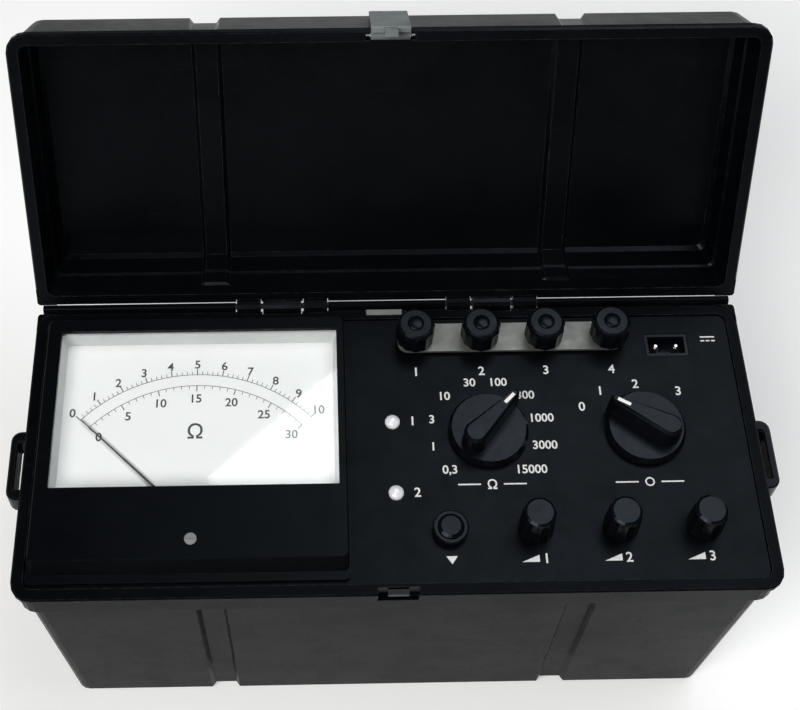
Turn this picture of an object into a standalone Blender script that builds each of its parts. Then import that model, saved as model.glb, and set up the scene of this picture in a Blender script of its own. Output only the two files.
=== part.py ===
"""Portable earth resistance meter in a two-part moulded case with a hinged lid.

Metres, +Z up. The origin is the centre of the case's flat bottom, +X runs to the right of a person
who reads the dial, and +Y runs to the rear, where the lid is hinged. The lid stands open.
"""

import math

import bmesh
import bpy
from mathutils import Matrix, Vector

# Clearances
GAP = 0.0003
OVERRUN = 0.002

# Case moulding
CASE_LENGTH = 0.293
CASE_DEPTH = 0.1242
CASE_HEIGHT = 0.1275
RIM_THICK = 0.0028
RIM_WIDTH = 0.0047
RIM_EDGE = 0.0006
RIM_CORNER = 0.008
COLLAR_INSET = 0.0013
COLLAR_BOTTOM = 0.112
COLLAR_CORNER = 0.007
WALL_INSET = 0.0035
WALL_CORNER = 0.0055
WALL = 0.003
DRAFT_LENGTH = 0.0085
DRAFT_DEPTH = 0.0052
FLOOR = 0.005
BOTTOM_BEVEL = 0.0015
INNER_CORNER = 0.0032
LEDGE_WIDTH = 0.003
GROOVE_PLACE = 0.072
GROOVE_WIDTH = 0.012
GROOVE_DEPTH = 0.0022
GROOVE_SLOPE = 0.0016
CORNER_STEPS = 4

# Control panel
PANEL_DROP = 0.001
PANEL_THICK = 0.0025
PANEL_TOP = CASE_HEIGHT - PANEL_DROP
PANEL_UNDER = PANEL_TOP - PANEL_THICK
ON_PANEL = PANEL_TOP + GAP
BELOW_PANEL = PANEL_UNDER - GAP
LEDGE_TOP = PANEL_UNDER - GAP

# Lid moulding
LID_BOTTOM = CASE_HEIGHT + GAP
LID_DEPTH = 0.0277
LID_TOP = LID_BOTTOM + LID_DEPTH
LID_WALL_INSET = 0.0015
LID_TOP_INSET = 0.005
LID_ROUND = 0.003
LID_OPEN_ANGLE = math.radians(114.6)
LID_STEP_PLACE = 0.013
LID_STEP = 0.0007
LID_RIM_INSIDE = 0.003
LID_RIB_START = 0.0062
LID_RIB_DEPTH = 0.001

# Hinge
HINGE_BEHIND_RIM = 0.002
HINGE_ABOVE_RIM = 0.0005
HINGE_Y = CASE_DEPTH / 2 + HINGE_BEHIND_RIM
HINGE_Z = CASE_HEIGHT + HINGE_ABOVE_RIM
EYE_RADIUS = 0.0032
ROD_RADIUS = 0.0012
ROD_HALF = 0.0645
LID_KNUCKLE_PLACE = 0.044
LID_KNUCKLE_LENGTH = 0.016
CASE_KNUCKLE_PLACES = (0.058, 0.030)
CASE_KNUCKLE_LENGTH = 0.010
KNUCKLE_ROOT = 0.004
HEEL_TOP = 0.0034
HEEL_BOTTOM = 0.005
BRACKET_DROP = 0.009
KNUCKLE_POCKET = 0.0036
KNUCKLE_POCKET_TOP = 0.0036
KEEPER_PLACE = -0.00125
KEEPER_LENGTH = 0.0147
KEEPER_WIDTH = 0.0025
KEEPER_THICK = 0.0008
KEEPER_Y = 0.06065

# Latch
LATCH_HALF = 0.0075
LATCH_SLOT_HALF = 0.0079
RECESS_BACK = 0.0589
RECESS_BOTTOM = 0.1185
CATCH_HALF = 0.004
CATCH_FRONT = 0.0609
CATCH_BOTTOM = 0.1232
CATCH_TOP = 0.1262
CATCH_SLOPE = 0.0012
LATCH_PIVOT_Y = -0.0593
LATCH_PIVOT_Z = 0.1302
LATCH_PIN_RADIUS = 0.001
LATCH_PIN_HALF = 0.0094
LATCH_EYE = 0.002
LATCH_FRONT = 0.0636
LATCH_BACK = 0.0614
LATCH_TOP = 0.1505
LATCH_ROUND = 0.0006
LATCH_FOOT = 0.1253
LATCH_ARM = 0.0014
HOOK_HALF = 0.0025
HOOK_BOTTOM = 0.1208
HOOK_TIP = 0.0602
HOOK_THICK = 0.0018
LATCH_RELEASE = math.radians(10.0)
LATCH_WINDOW_TOP = 0.1335
LATCH_WINDOW_BACK = 0.0565

# Strap lugs
LUG_FRONT = -0.0195
LUG_REAR = 0.010
LUG_FOOT = 0.0045
LUG_REACH = 0.0073
LUG_BAR = 0.003
LUG_BOTTOM = 0.1125
LUG_TOP = 0.1235
LUG_CORNER = 0.004

# Screws through the case floor into the panel's pillars
PILLAR_PLACES = ((-0.130, -0.049), (-0.008, -0.049), (-0.010, 0.049), (0.130, -0.049), (0.130, 0.049))
PILLAR_RADIUS = 0.004
PILLAR_BOTTOM = 0.012
BOSS_RADIUS = 0.005
SCREW_RADIUS = 0.0016
SCREW_HEAD_RADIUS = 0.003
SCREW_LENGTH = 0.023
SCREW_SEAT = 0.007

# Battery compartment
BATTERY_X = -0.068
CELL_RADIUS = 0.0131
CELL_PITCH = 0.0265
CELL_HEIGHT = 0.0500
BATTERY_CAVITY = 0.0400
BATTERY_WALL = 0.0025
BATTERY_BOX_TOP = 0.058
DOOR_HALF_LENGTH = 0.0430
DOOR_HALF_DEPTH = 0.0500
DOOR_THICK = 0.0028
DOOR_REBATE = 0.0034
DOOR_SCREW_PLACE = 0.0465
DOOR_SCREW_RADIUS = 0.0012
DOOR_SCREW_HEAD = 0.0011
DOOR_SCREW_HEAD_RADIUS = 0.0023
DOOR_BOSS_RADIUS = 0.003
DOOR_BOSS_TOP = 0.0115

# Meter cover, window and dial
COVER_TOP = PANEL_TOP + 0.007
COVER_PLATE = 0.002
COVER_LIP = 0.0015
COVER_LEFT = -0.1408
COVER_RIGHT = -0.0179
COVER_REAR = 0.0563
COVER_FRONT_LIP = -0.0558
COVER_FRONT_FOOT = -0.0525
COVER_FRONT_TOP = -0.0490
COVER_EDGE = 0.0005
COVER_CORNER = 0.002
WINDOW_LEFT = -0.1346
WINDOW_RIGHT = -0.0216
WINDOW_FRONT = -0.0191
WINDOW_REAR = 0.0500
HOLLOW_LEFT = -0.1385
HOLLOW_RIGHT = -0.0198
HOLLOW_FRONT = -0.0470
HOLLOW_REAR = 0.0535
SURROUND_FRONT = -0.0223
SURROUND_FLARE = 0.0015
SURROUND_BOTTOM = 0.1238
GLASS_THICK = 0.0012
DIAL_TOP = 0.1235
DIAL_THICK = 0.0008

# Meter movement
PIVOT_X = -0.079
PIVOT_Y = -0.0303
SWEEP = math.radians(92.6)
NEEDLE_LENGTH = 0.064
NEEDLE_BOTTOM = 0.1245
NEEDLE_THICK = 0.0004
NEEDLE_ROOT_HALF = 0.0006
NEEDLE_TIP_HALF = 0.0002
NEEDLE_TAIL = 0.0075
NEEDLE_TAIL_HALF = 0.0011
HUB_RADIUS = 0.0024
HUB_BOTTOM = 0.1243
HUB_TOP = 0.1262
STAFF_RADIUS = 0.001
STAFF_BOTTOM = 0.089
STAFF_HOLE = 0.0013
COIL_HALF = 0.0096
COIL_WINDOW_HALF = 0.0077
COIL_BOTTOM = 0.0912
COIL_TOP = 0.1156
COIL_BAR = 0.002
COIL_THICK = 0.0028
CORE_RADIUS = 0.0065
CORE_BOTTOM = 0.094
CORE_TOP = 0.112
MAGNET_INNER = 0.0102
MAGNET_OUTER = 0.014
MAGNET_SLOT_BOTTOM = 0.0997
FRAME_HALF_WIDTH = 0.0025
FRAME_REACH = 0.0172
FRAME_OPENING = 0.0144
FRAME_BOTTOM = 0.0883
FRAME_TOP = 0.119
FRAME_BAR = 0.0022
LUG_ARM_BOTTOM = 0.100
LUG_ARM_TOP = 0.106
SPRING_INNER = 0.0019
SPRING_OUTER = 0.0052
SPRING_STRIP = 0.0003
SPRING_HEIGHT = 0.0006
HAIRSPRING_BOTTOM = 0.1196
HOUSING_BOTTOM = 0.086
HOUSING_TOP = 0.1224
HOUSING_FLANGE = 0.0027
HOUSING_FLANGE_FRONT = -0.044
HOUSING_LEFT = -0.118
HOUSING_RIGHT = -0.040
HOUSING_FRONT = -0.050
HOUSING_REAR = 0.020
HOUSING_WALL = 0.002
HUB_WELL_HALF = 0.016
CORRECTOR_X = -0.0785
CORRECTOR_Y = -0.0411
CORRECTOR_HEAD_RADIUS = 0.0024
CORRECTOR_HEAD = 0.0007
CORRECTOR_SHANK = 0.0015
CORRECTOR_BOTTOM = 0.1272
CORRECTOR_PIN = 0.0006
CORRECTOR_THROW = 0.0008
CORRECTOR_PIN_BOTTOM = 0.1252
CORRECTOR_SLOT = 0.0006

# Rotary switches and their knobs
RANGE_PLACE = (0.0385, 0.0051)
RANGE_ANGLE = math.radians(45.0)
MODE_PLACE = (0.1015, 0.0051)
MODE_ANGLE = math.radians(150.0)
SWITCH_BOTTOM = 0.088
SWITCH_RADIUS = 0.017
SWITCH_HUB = 0.009
WAFER = 0.002
WAFER_PITCH = 0.009
WAFER_COUNT = 3
NECK_RADIUS = 0.0045
NECK_TOP = 0.1280
NUT_RADIUS = 0.006
SHAFT_RADIUS = 0.003
SHAFT_BOTTOM = 0.105
SHAFT_TOP = 0.136
KNOB_BOTTOM = 0.1271
SKIRT_RADIUS = 0.016
SKIRT_TOP = 0.1308
SKIRT_EDGE = 0.0012
SKIRT_WALL = 0.0016
KNOB_RECESS = 0.008
KNOB_RECESS_TOP = 0.1290
GRIP_BACK = 0.014
GRIP_HALF = 0.0053
GRIP_TIP = 0.0172
GRIP_TIP_HALF = 0.0017
GRIP_TOP = 0.1405
GRIP_DRAFT = 0.0005
GRIP_EDGE = 0.0012

# Preset knobs and potentiometers
TRIM_PLACES = ((0.0539, -0.0357), (0.0866, -0.0357), (0.1190, -0.0357))
TRIM_RADIUS = 0.007
TRIM_TOP = 0.142
TRIM_ROUND = 0.002
FLUTES = 12
FLUTE_DEPTH = 0.0005
POT_RADIUS = 0.008
POT_BOTTOM = 0.1125
POT_NECK_TOP = 0.1263
SPINDLE_BOTTOM = 0.1130

# Push button
BUTTON_PLACE = (0.0208, -0.0363)
BUTTON_RADIUS = 0.005
BUTTON_TOP = 0.1318
BUTTON_HEAD_BOTTOM = 0.1245
BUTTON_EDGE = 0.0006
BUTTON_STEM = 0.0022
BUTTON_STEM_BOTTOM = 0.1125
COLLAR_RADIUS = 0.007
COLLAR_TOP = 0.1304
COLLAR_NECK = 0.0062
COLLAR_FLOOR_TOP = 0.118
COLLAR_BASE = 0.1165
RETURN_SPRING_RADIUS = 0.0036
RETURN_SPRING_WIRE = 0.00035
RETURN_SPRING_TURNS = 3.5
BUTTON_SWITCH_HALF = 0.0065
BUTTON_SWITCH_BOTTOM = 0.101
BUTTON_TRAVEL_ROOM = 0.1092

# Lamps
LAMP_PLACES = ((0.0003, 0.0100), (0.0006, -0.0205))
LAMP_RADIUS = 0.003
LAMP_BOTTOM = 0.121
LAMP_FLANGE_RADIUS = 0.0042
LAMP_SHOULDER = 0.1272
LAMP_TOP = 0.1286

# Screw terminals
TERMINAL_Y = 0.0473
TERMINAL_PLACES = (0.0109, 0.0378, 0.0643, 0.0913)
STUD_RADIUS = 0.002
STUD_BOTTOM = 0.112
STUD_TOP = 0.1404
STUD_COLLAR_RADIUS = 0.005
STUD_COLLAR_TOP = 0.1275
NUT_RADIUS_SMALL = 0.004
NUT_BOTTOM = 0.1205
LINK_LEFT = 0.0037
LINK_RIGHT = 0.0972
LINK_WIDTH = 0.013
LINK_BOTTOM = 0.1278
LINK_TOP = 0.1290
WASHER_RADIUS = 0.0055
WASHER_BOTTOM = 0.1293
WASHER_TOP = 0.1303
CAP_BOTTOM = 0.1306
CAP_TOP = 0.1410
CAP_RADIUS = 0.008
CAP_ROUND = 0.0018

# Power socket
SOCKET_X = 0.1155
SOCKET_Y = 0.0436
SOCKET_HALF_X = 0.010
SOCKET_HALF_Y = 0.0065
SOCKET_BOTTOM = 0.108
SOCKET_NECK_X = 0.0087
SOCKET_NECK_Y = 0.0050
SOCKET_TOP = 0.1263
SOCKET_WALL = 0.0011
SOCKET_RECESS_BOTTOM = 0.1195
PIN_SPACING = 0.0084
PIN_RADIUS = 0.0012
PIN_TOP = 0.1256
PIN_BOTTOM = 0.114

# Circuit board
BOARD_LEFT = -0.006
BOARD_RIGHT = 0.134
BOARD_FRONT = -0.042
BOARD_REAR = 0.038
BOARD_TOP = 0.064
BOARD_THICK = 0.0016
SPACER_PLACES = ((0.0, -0.036), (0.0, 0.032), (0.131, -0.030), (0.131, 0.030))
SPACER_RADIUS = 0.0027
TRANSFORMER_SIZE = (0.032, 0.026, 0.018)
TRANSFORMER_PLACE = (0.030, 0.010)
CHIP_SIZE = (0.019, 0.0065, 0.004)
CHIP_PLACES = ((0.070, -0.012), (0.070, 0.006), (0.100, -0.012), (0.100, 0.006))
CAPACITOR_RADIUS = 0.0055
CAPACITOR_HEIGHT = 0.015
CAPACITOR_PLACES = ((0.062, 0.026), (0.082, 0.026), (0.102, 0.026))

HINGE = Vector((0.0, HINGE_Y, HINGE_Z))
LATCH_PIVOT = Vector((0.0, LATCH_PIVOT_Y, LATCH_PIVOT_Z))
ORIGIN = Vector((0.0, 0.0, 0.0))


def clear_scene():
    for item in list(bpy.data.objects):
        bpy.data.objects.remove(item, do_unlink=True)


def material(name, colour, roughness, metallic=0.0):
    made = bpy.data.materials.new(name)
    made.use_nodes = True
    shader = made.node_tree.nodes["Principled BSDF"]
    shader.inputs["Base Color"].default_value = (*colour, 1.0)
    shader.inputs["Roughness"].default_value = roughness
    shader.inputs["Metallic"].default_value = metallic
    return made


def empty(name, place, turn=0.0, parent=None):
    """An empty on a joint's axis, turned about X."""
    made = bpy.data.objects.new(name, None)
    bpy.context.scene.collection.objects.link(made)
    made.parent = parent
    made.location = place
    made.rotation_euler.x = turn
    return made


def put(name, bm, finish, pivot=ORIGIN, carrier=None, smooth_angle=35.0):
    """Makes an object of the mesh. Its origin is the pivot, or its carrier's when it has one."""
    bmesh.ops.translate(bm, verts=bm.verts, vec=-pivot)
    bmesh.ops.recalc_face_normals(bm, faces=bm.faces)
    mesh = bpy.data.meshes.new(name)
    bm.to_mesh(mesh)
    bm.free()
    made = bpy.data.objects.new(name, mesh)
    bpy.context.scene.collection.objects.link(made)
    if carrier is None:
        made.location = pivot
    else:
        made.parent = carrier
    if finish is not None:
        mesh.materials.append(finish)
        mesh.shade_smooth()
        mesh.set_sharp_from_angle(angle=math.radians(smooth_angle))
    return made


def join(target, name, bm, operation, pivot=ORIGIN, carrier=None):
    """Adds or cuts a shape with a Boolean. The shape itself is only a tool and isn't rendered."""
    tool = put(name, bm, None, pivot, carrier)
    tool.hide_render = True
    tool.display_type = "WIRE"
    modifier = target.modifiers.new(name, "BOOLEAN")
    modifier.operation = operation
    modifier.solver = "EXACT"
    modifier.object = tool
    return tool


def add(target, name, bm, pivot=ORIGIN, carrier=None):
    return join(target, name, bm, "UNION", pivot, carrier)


def cut(target, name, bm, pivot=ORIGIN, carrier=None):
    return join(target, name, bm, "DIFFERENCE", pivot, carrier)


def skin(bm, loops, ring=False, caps="plain"):
    """Joins loops of equal length with quads. A ring also joins the last loop to the first."""
    rows = []
    for loop in loops:
        rows.append([bm.verts.new(point) for point in loop])
    pairs = list(zip(rows, rows[1:]))
    if ring:
        pairs.append((rows[-1], rows[0]))
    count = len(rows[0])
    for low, high in pairs:
        for n in range(count):
            m = (n + 1) % count
            bm.faces.new((low[n], low[m], high[m], high[n]))
    if not ring:
        for row in (rows[0], rows[-1]):
            for corners in cap_faces(count, caps):
                bm.faces.new([row[n] for n in corners])
    return bm


def cap_faces(count, caps):
    """One face over the whole loop, or the strips that let grooves run across a lid."""
    if caps == "plain":
        return [list(range(count))]
    arc = CORNER_STEPS + 1
    front = list(range(arc, arc + 8))
    rear = list(range(arc * 3 + 15, arc * 3 + 7, -1))
    faces = [list(range(0, arc + 1)) + list(range(rear[0], count))]
    for n in range(7):
        faces.append([front[n], front[n + 1], rear[n + 1], rear[n]])
    faces.append(list(range(front[7], rear[7] + 1)))
    return faces


def plan_loop(inset_x, inset_y, corner, z, groove=0.0, drop=0.0):
    """One level of a case moulding: a rounded rectangle with two grooves in its front and rear."""
    half_x = CASE_LENGTH / 2 - inset_x
    half_y = CASE_DEPTH / 2 - inset_y
    points = []
    for corner_index, (side_x, side_y) in enumerate(((-1, -1), (1, -1), (1, 1), (-1, 1))):
        start = math.pi + corner_index * math.pi / 2
        for n in range(CORNER_STEPS + 1):
            angle = start + n * math.pi / 2 / CORNER_STEPS
            x = side_x * (half_x - corner) + corner * math.cos(angle)
            y = side_y * (half_y - corner) + corner * math.sin(angle)
            points.append((x, y, z))
        if corner_index in (0, 2):
            run = -side_x
            for place in (-GROOVE_PLACE * run, GROOVE_PLACE * run):
                half = GROOVE_WIDTH / 2
                floor_y = side_y * (half_y - groove)
                points.append((place - run * half, side_y * half_y, z))
                points.append((place - run * (half - GROOVE_SLOPE), floor_y, z - drop))
                points.append((place + run * (half - GROOVE_SLOPE), floor_y, z - drop))
                points.append((place + run * half, side_y * half_y, z))
    return points


def level(inset, corner, z, groove=0.0, drop=0.0):
    return plan_loop(inset, inset, corner, z, groove, drop)


def box_loop(left, right, front, rear, corner, z, steps=2):
    """A plain rounded rectangle."""
    points = []
    places = ((left + corner, front + corner), (right - corner, front + corner),
              (right - corner, rear - corner), (left + corner, rear - corner))
    for index, (x, y) in enumerate(places):
        for n in range(steps + 1):
            angle = math.pi + (index + n / steps) * math.pi / 2
            points.append((x + corner * math.cos(angle), y + corner * math.sin(angle), z))
    return points


def block(bm, left, right, front, rear, bottom, top):
    rows = []
    for z in (bottom, top):
        rows.append([(left, front, z), (right, front, z), (right, rear, z), (left, rear, z)])
    return skin(bm, rows)


def around(bm, centre_x, centre_y, half_x, half_y, bottom, top):
    return block(bm, centre_x - half_x, centre_x + half_x, centre_y - half_y, centre_y + half_y, bottom, top)


def circle(centre, radius, z, count, turn=0.0):
    points = []
    for n in range(count):
        angle = turn + n * 2 * math.pi / count
        points.append((centre[0] + radius * math.cos(angle), centre[1] + radius * math.sin(angle), z))
    return points


def turned(bm, centre, profile, count=20, ring=False):
    """A turned solid from a profile of radius and height, or a turned ring round a bore."""
    return skin(bm, [circle(centre, radius, z, count) for radius, z in profile], ring)


def rod(bm, centre, radius, bottom, top, count=12):
    return turned(bm, centre, ((radius, bottom), (radius, top)), count)


def prism_along_x(bm, outline, left, right):
    """An outline in Y and Z, drawn out along X."""
    return skin(bm, [[(x, y, z) for y, z in outline] for x in (left, right)])


def arc_points(centre_y, centre_z, radius, start, end, steps):
    """Points in Y and Z along an arc, with its angles in degrees."""
    points = []
    for n in range(steps + 1):
        angle = math.radians(start + (end - start) * n / steps)
        points.append((centre_y + radius * math.cos(angle), centre_z + radius * math.sin(angle)))
    return points


def fluted(centre, radius, depth, z):
    points = []
    for n in range(FLUTES * 2):
        reach = radius - depth * (n % 2)
        angle = n * math.pi / FLUTES
        points.append((centre[0] + reach * math.cos(angle), centre[1] + reach * math.sin(angle), z))
    return points


def tube(bm, path, radius, sides):
    """A closed tube of round section along a path of points."""
    rows = []
    for n, point in enumerate(path):
        ahead = path[min(n + 1, len(path) - 1)]
        behind = path[max(n - 1, 0)]
        along = (ahead - behind).normalized()
        side = along.cross(Vector((0.0, 0.0, 1.0))).normalized()
        up = side.cross(along)
        ring = []
        for m in range(sides):
            angle = m * 2 * math.pi / sides
            ring.append(point + side * (radius * math.cos(angle)) + up * (radius * math.sin(angle)))
        rows.append(ring)
    return skin(bm, rows)


def case_body(finish):
    """The tub: drafted walls with panels between grooves, a collar, a rim lip and a panel ledge."""
    inner = WALL_INSET + WALL
    ledge = RIM_WIDTH + LEDGE_WIDTH
    rim_under = CASE_HEIGHT - RIM_THICK
    loops = [
        plan_loop(DRAFT_LENGTH + BOTTOM_BEVEL, DRAFT_DEPTH + BOTTOM_BEVEL, WALL_CORNER, 0.0, GROOVE_DEPTH),
        plan_loop(DRAFT_LENGTH, DRAFT_DEPTH, WALL_CORNER, BOTTOM_BEVEL, GROOVE_DEPTH),
        level(WALL_INSET, WALL_CORNER, COLLAR_BOTTOM, GROOVE_DEPTH),
        level(COLLAR_INSET, COLLAR_CORNER, COLLAR_BOTTOM),
        level(COLLAR_INSET, COLLAR_CORNER, rim_under),
        level(0.0, RIM_CORNER, rim_under),
        level(0.0, RIM_CORNER, CASE_HEIGHT - RIM_EDGE),
        level(RIM_EDGE, RIM_CORNER - RIM_EDGE, CASE_HEIGHT),
        level(RIM_WIDTH, INNER_CORNER, CASE_HEIGHT),
        level(RIM_WIDTH, INNER_CORNER, LEDGE_TOP),
        level(ledge, INNER_CORNER, LEDGE_TOP),
        level(inner, INNER_CORNER, COLLAR_BOTTOM, GROOVE_DEPTH),
        plan_loop(DRAFT_LENGTH + WALL, DRAFT_DEPTH + WALL, INNER_CORNER, FLOOR, GROOVE_DEPTH),
    ]
    body = put("case_body", skin(bmesh.new(), loops), finish)
    bosses = bmesh.new()
    for place in PILLAR_PLACES:
        rod(bosses, place, BOSS_RADIUS, FLOOR - BOTTOM_BEVEL, PILLAR_BOTTOM - GAP)
    for side in (-1, 1):
        place = (BATTERY_X, side * DOOR_SCREW_PLACE)
        rod(bosses, place, DOOR_BOSS_RADIUS, FLOOR - BOTTOM_BEVEL, DOOR_BOSS_TOP)
    add(body, "case_bosses", bosses)
    door = bmesh.new()
    around(door, BATTERY_X, 0.0, DOOR_HALF_LENGTH + GAP, DOOR_HALF_DEPTH + GAP, -OVERRUN, DOOR_REBATE)
    cut(body, "door_rebate", door)
    opening = bmesh.new()
    around(opening, BATTERY_X, 0.0, BATTERY_CAVITY, BATTERY_CAVITY, -OVERRUN, FLOOR + OVERRUN)
    cut(body, "battery_opening", opening)
    holes = bmesh.new()
    wide = SCREW_HEAD_RADIUS + GAP
    narrow = SCREW_RADIUS + GAP
    for place in PILLAR_PLACES:
        steps = ((wide, -OVERRUN), (wide, SCREW_SEAT), (narrow, SCREW_SEAT), (narrow, PILLAR_BOTTOM + OVERRUN))
        turned(holes, place, steps, 12)
    for side in (-1, 1):
        place = (BATTERY_X, side * DOOR_SCREW_PLACE)
        rod(holes, place, DOOR_SCREW_RADIUS + GAP, DOOR_REBATE - OVERRUN, DOOR_BOSS_TOP + OVERRUN)
    cut(body, "floor_holes", holes)
    rear = CASE_DEPTH / 2
    pockets = bmesh.new()
    half = LID_KNUCKLE_LENGTH / 2 + GAP
    for side in (-1, 1):
        place = side * LID_KNUCKLE_PLACE
        pocket_y = HINGE_Y - KNUCKLE_POCKET
        block(pockets, place - half, place + half, pocket_y, rear + OVERRUN, rim_under, CASE_HEIGHT + OVERRUN)
    cut(body, "knuckle_pockets", pockets)
    knuckles = bmesh.new()
    for side in (-1, 1):
        for place in CASE_KNUCKLE_PLACES:
            centre = side * place
            prism_along_x(knuckles, case_knuckle_outline(), centre - CASE_KNUCKLE_LENGTH / 2,
                          centre + CASE_KNUCKLE_LENGTH / 2)
    add(body, "case_knuckles", knuckles)
    cut(body, "case_rod_bore", rod_bore())
    recess = bmesh.new()
    block(recess, -LATCH_SLOT_HALF, LATCH_SLOT_HALF, -rear - OVERRUN, -RECESS_BACK,
          RECESS_BOTTOM, CASE_HEIGHT + OVERRUN)
    cut(body, "latch_recess", recess)
    seat = bmesh.new()
    around(seat, KEEPER_PLACE, KEEPER_Y, KEEPER_LENGTH / 2 + GAP, KEEPER_WIDTH / 2 + GAP,
           CASE_HEIGHT - KEEPER_THICK - GAP, CASE_HEIGHT + OVERRUN)
    cut(body, "keeper_seat", seat)
    return body


def case_knuckle_outline():
    """The eye round the rod and the bracket below it, which roots in the collar."""
    root = HINGE_Y - KNUCKLE_ROOT
    outline = arc_points(HINGE_Y, HINGE_Z, EYE_RADIUS, -30.0, 195.0, 8)
    outline.append((root, HINGE_Z - RIM_EDGE * 2))
    outline.append((root, HINGE_Z - BRACKET_DROP))
    outline.append((root + RIM_EDGE, HINGE_Z - BRACKET_DROP))
    return outline


def lid_knuckle_outline():
    """The eye, the web that roots in the lid and the heel that stops the open lid, as when closed."""
    turn = Matrix.Rotation(LID_OPEN_ANGLE, 2)
    face = -(HINGE_BEHIND_RIM + COLLAR_INSET - GAP)
    heel = []
    for depth in (HEEL_TOP, HEEL_BOTTOM):
        corner = turn @ Vector((face, -depth))
        heel.append((HINGE_Y + corner.x, HINGE_Z + corner.y))
    outline = arc_points(HINGE_Y, HINGE_Z, EYE_RADIUS, 174.0, 310.0, 5)
    outline += heel
    outline += arc_points(HINGE_Y, HINGE_Z, EYE_RADIUS, 390.0, 450.0, 3)
    outline.append((HINGE_Y - KNUCKLE_ROOT, HINGE_Z + EYE_RADIUS))
    outline.append((HINGE_Y - KNUCKLE_ROOT, HINGE_Z + GAP))
    return outline


def rod_bore():
    bm = bmesh.new()
    outline = arc_points(HINGE_Y, HINGE_Z, ROD_RADIUS + GAP, 0.0, 330.0, 11)
    return prism_along_x(bm, outline, -ROD_HALF - OVERRUN, ROD_HALF + OVERRUN)


def hinge_rod(finish):
    outline = arc_points(HINGE_Y, HINGE_Z, ROD_RADIUS, 0.0, 330.0, 11)
    put("hinge_rod", prism_along_x(bmesh.new(), outline, -ROD_HALF, ROD_HALF), finish)


def hinge_keeper(finish):
    bm = bmesh.new()
    around(bm, KEEPER_PLACE, KEEPER_Y, KEEPER_LENGTH / 2, KEEPER_WIDTH / 2, CASE_HEIGHT - KEEPER_THICK,
           CASE_HEIGHT)
    put("hinge_keeper", bm, finish)


def strap_lugs(finish):
    """Bows on the ends of the collar that a carrying strap goes through."""
    face = CASE_LENGTH / 2 - COLLAR_INSET + GAP
    out = face + LUG_REACH
    for side, name in ((-1, "strap_lug_left"), (1, "strap_lug_right")):
        outline = [(face, LUG_FRONT)]
        for centre, start in ((LUG_FRONT + LUG_CORNER, -90.0), (LUG_REAR - LUG_CORNER, 0.0)):
            outline += arc_points(out - LUG_CORNER, centre, LUG_CORNER, start, start + 90.0, 4)
        inside = out - LUG_BAR
        outline += [(face, LUG_REAR), (face, LUG_REAR - LUG_FOOT), (inside, LUG_REAR - LUG_FOOT)]
        outline += [(inside, LUG_FRONT + LUG_FOOT), (face, LUG_FRONT + LUG_FOOT)]
        rows = [[(side * x, y, z) for x, y in outline] for z in (LUG_BOTTOM, LUG_TOP)]
        lug = put(name, skin(bmesh.new(), rows), finish)
        edge = lug.modifiers.new("worn_edge", "BEVEL")
        edge.width = RIM_EDGE
        edge.segments = 1
        edge.limit_method = "ANGLE"


def case_catch(finish):
    """A bar in the front recess, sloped on top so that the latch's hook rides over it."""
    back = -RECESS_BACK - GAP
    outline = [(back, CATCH_BOTTOM), (back, CATCH_TOP), (-CATCH_FRONT + CATCH_SLOPE, CATCH_TOP)]
    outline += [(-CATCH_FRONT, CATCH_TOP - CATCH_SLOPE), (-CATCH_FRONT, CATCH_BOTTOM)]
    put("case_catch", prism_along_x(bmesh.new(), outline, -CATCH_HALF, CATCH_HALF), finish)


def control_panel(finish):
    """The plate under the controls, with its openings and the pillars that take the case screws."""
    edge = RIM_WIDTH + GAP
    loops = [level(edge, INNER_CORNER, PANEL_UNDER), level(edge, INNER_CORNER, PANEL_TOP)]
    panel = put("control_panel", skin(bmesh.new(), loops), finish)
    pillars = bmesh.new()
    for place in PILLAR_PLACES:
        rod(pillars, place, PILLAR_RADIUS, PILLAR_BOTTOM, PANEL_UNDER + PANEL_THICK / 2)
    for place in SPACER_PLACES:
        rod(pillars, place, SPACER_RADIUS, BOARD_TOP + GAP, PANEL_UNDER + PANEL_THICK / 2, 8)
    add(panel, "panel_pillars", pillars)
    holes = bmesh.new()
    for place in PILLAR_PLACES:
        rod(holes, place, SCREW_RADIUS + GAP, PILLAR_BOTTOM - OVERRUN, SCREW_SEAT + SCREW_LENGTH + OVERRUN)
    bottom = PANEL_UNDER - OVERRUN
    top = PANEL_TOP + OVERRUN
    for place in (RANGE_PLACE, MODE_PLACE, *TRIM_PLACES):
        rod(holes, place, NECK_RADIUS + GAP, bottom, top)
    rod(holes, BUTTON_PLACE, COLLAR_NECK + GAP, bottom, top)
    for place in LAMP_PLACES:
        rod(holes, place, LAMP_RADIUS + GAP, bottom, top)
    for x in TERMINAL_PLACES:
        rod(holes, (x, TERMINAL_Y), STUD_RADIUS + GAP, bottom, top)
    around(holes, SOCKET_X, SOCKET_Y, SOCKET_NECK_X + GAP, SOCKET_NECK_Y + GAP, bottom, top)
    front = SURROUND_FRONT - GAP
    block(holes, HOLLOW_LEFT, HOLLOW_RIGHT, front, HOLLOW_REAR, bottom, top)
    cut(panel, "panel_openings", holes)
    well = bmesh.new()
    block(well, PIVOT_X - HUB_WELL_HALF, PIVOT_X + HUB_WELL_HALF, HOLLOW_FRONT, front + OVERRUN, bottom, top)
    cut(panel, "hub_well", well)


def pack_outline(z):
    """Nine upright cells in one sleeve: a square with a round bulge for each outer cell."""
    points = []
    for side in range(4):
        turn = Matrix.Rotation(side * math.pi / 2, 2)
        for column, start in ((-1, -210), (0, -150)):
            for n in range(7):
                angle = math.radians(start + (-30 - start) * n / 6)
                x = column * CELL_PITCH + CELL_RADIUS * math.cos(angle)
                y = -CELL_PITCH + CELL_RADIUS * math.sin(angle)
                point = turn @ Vector((x, y))
                points.append((BATTERY_X + point.x, point.y, z))
    return points


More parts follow.
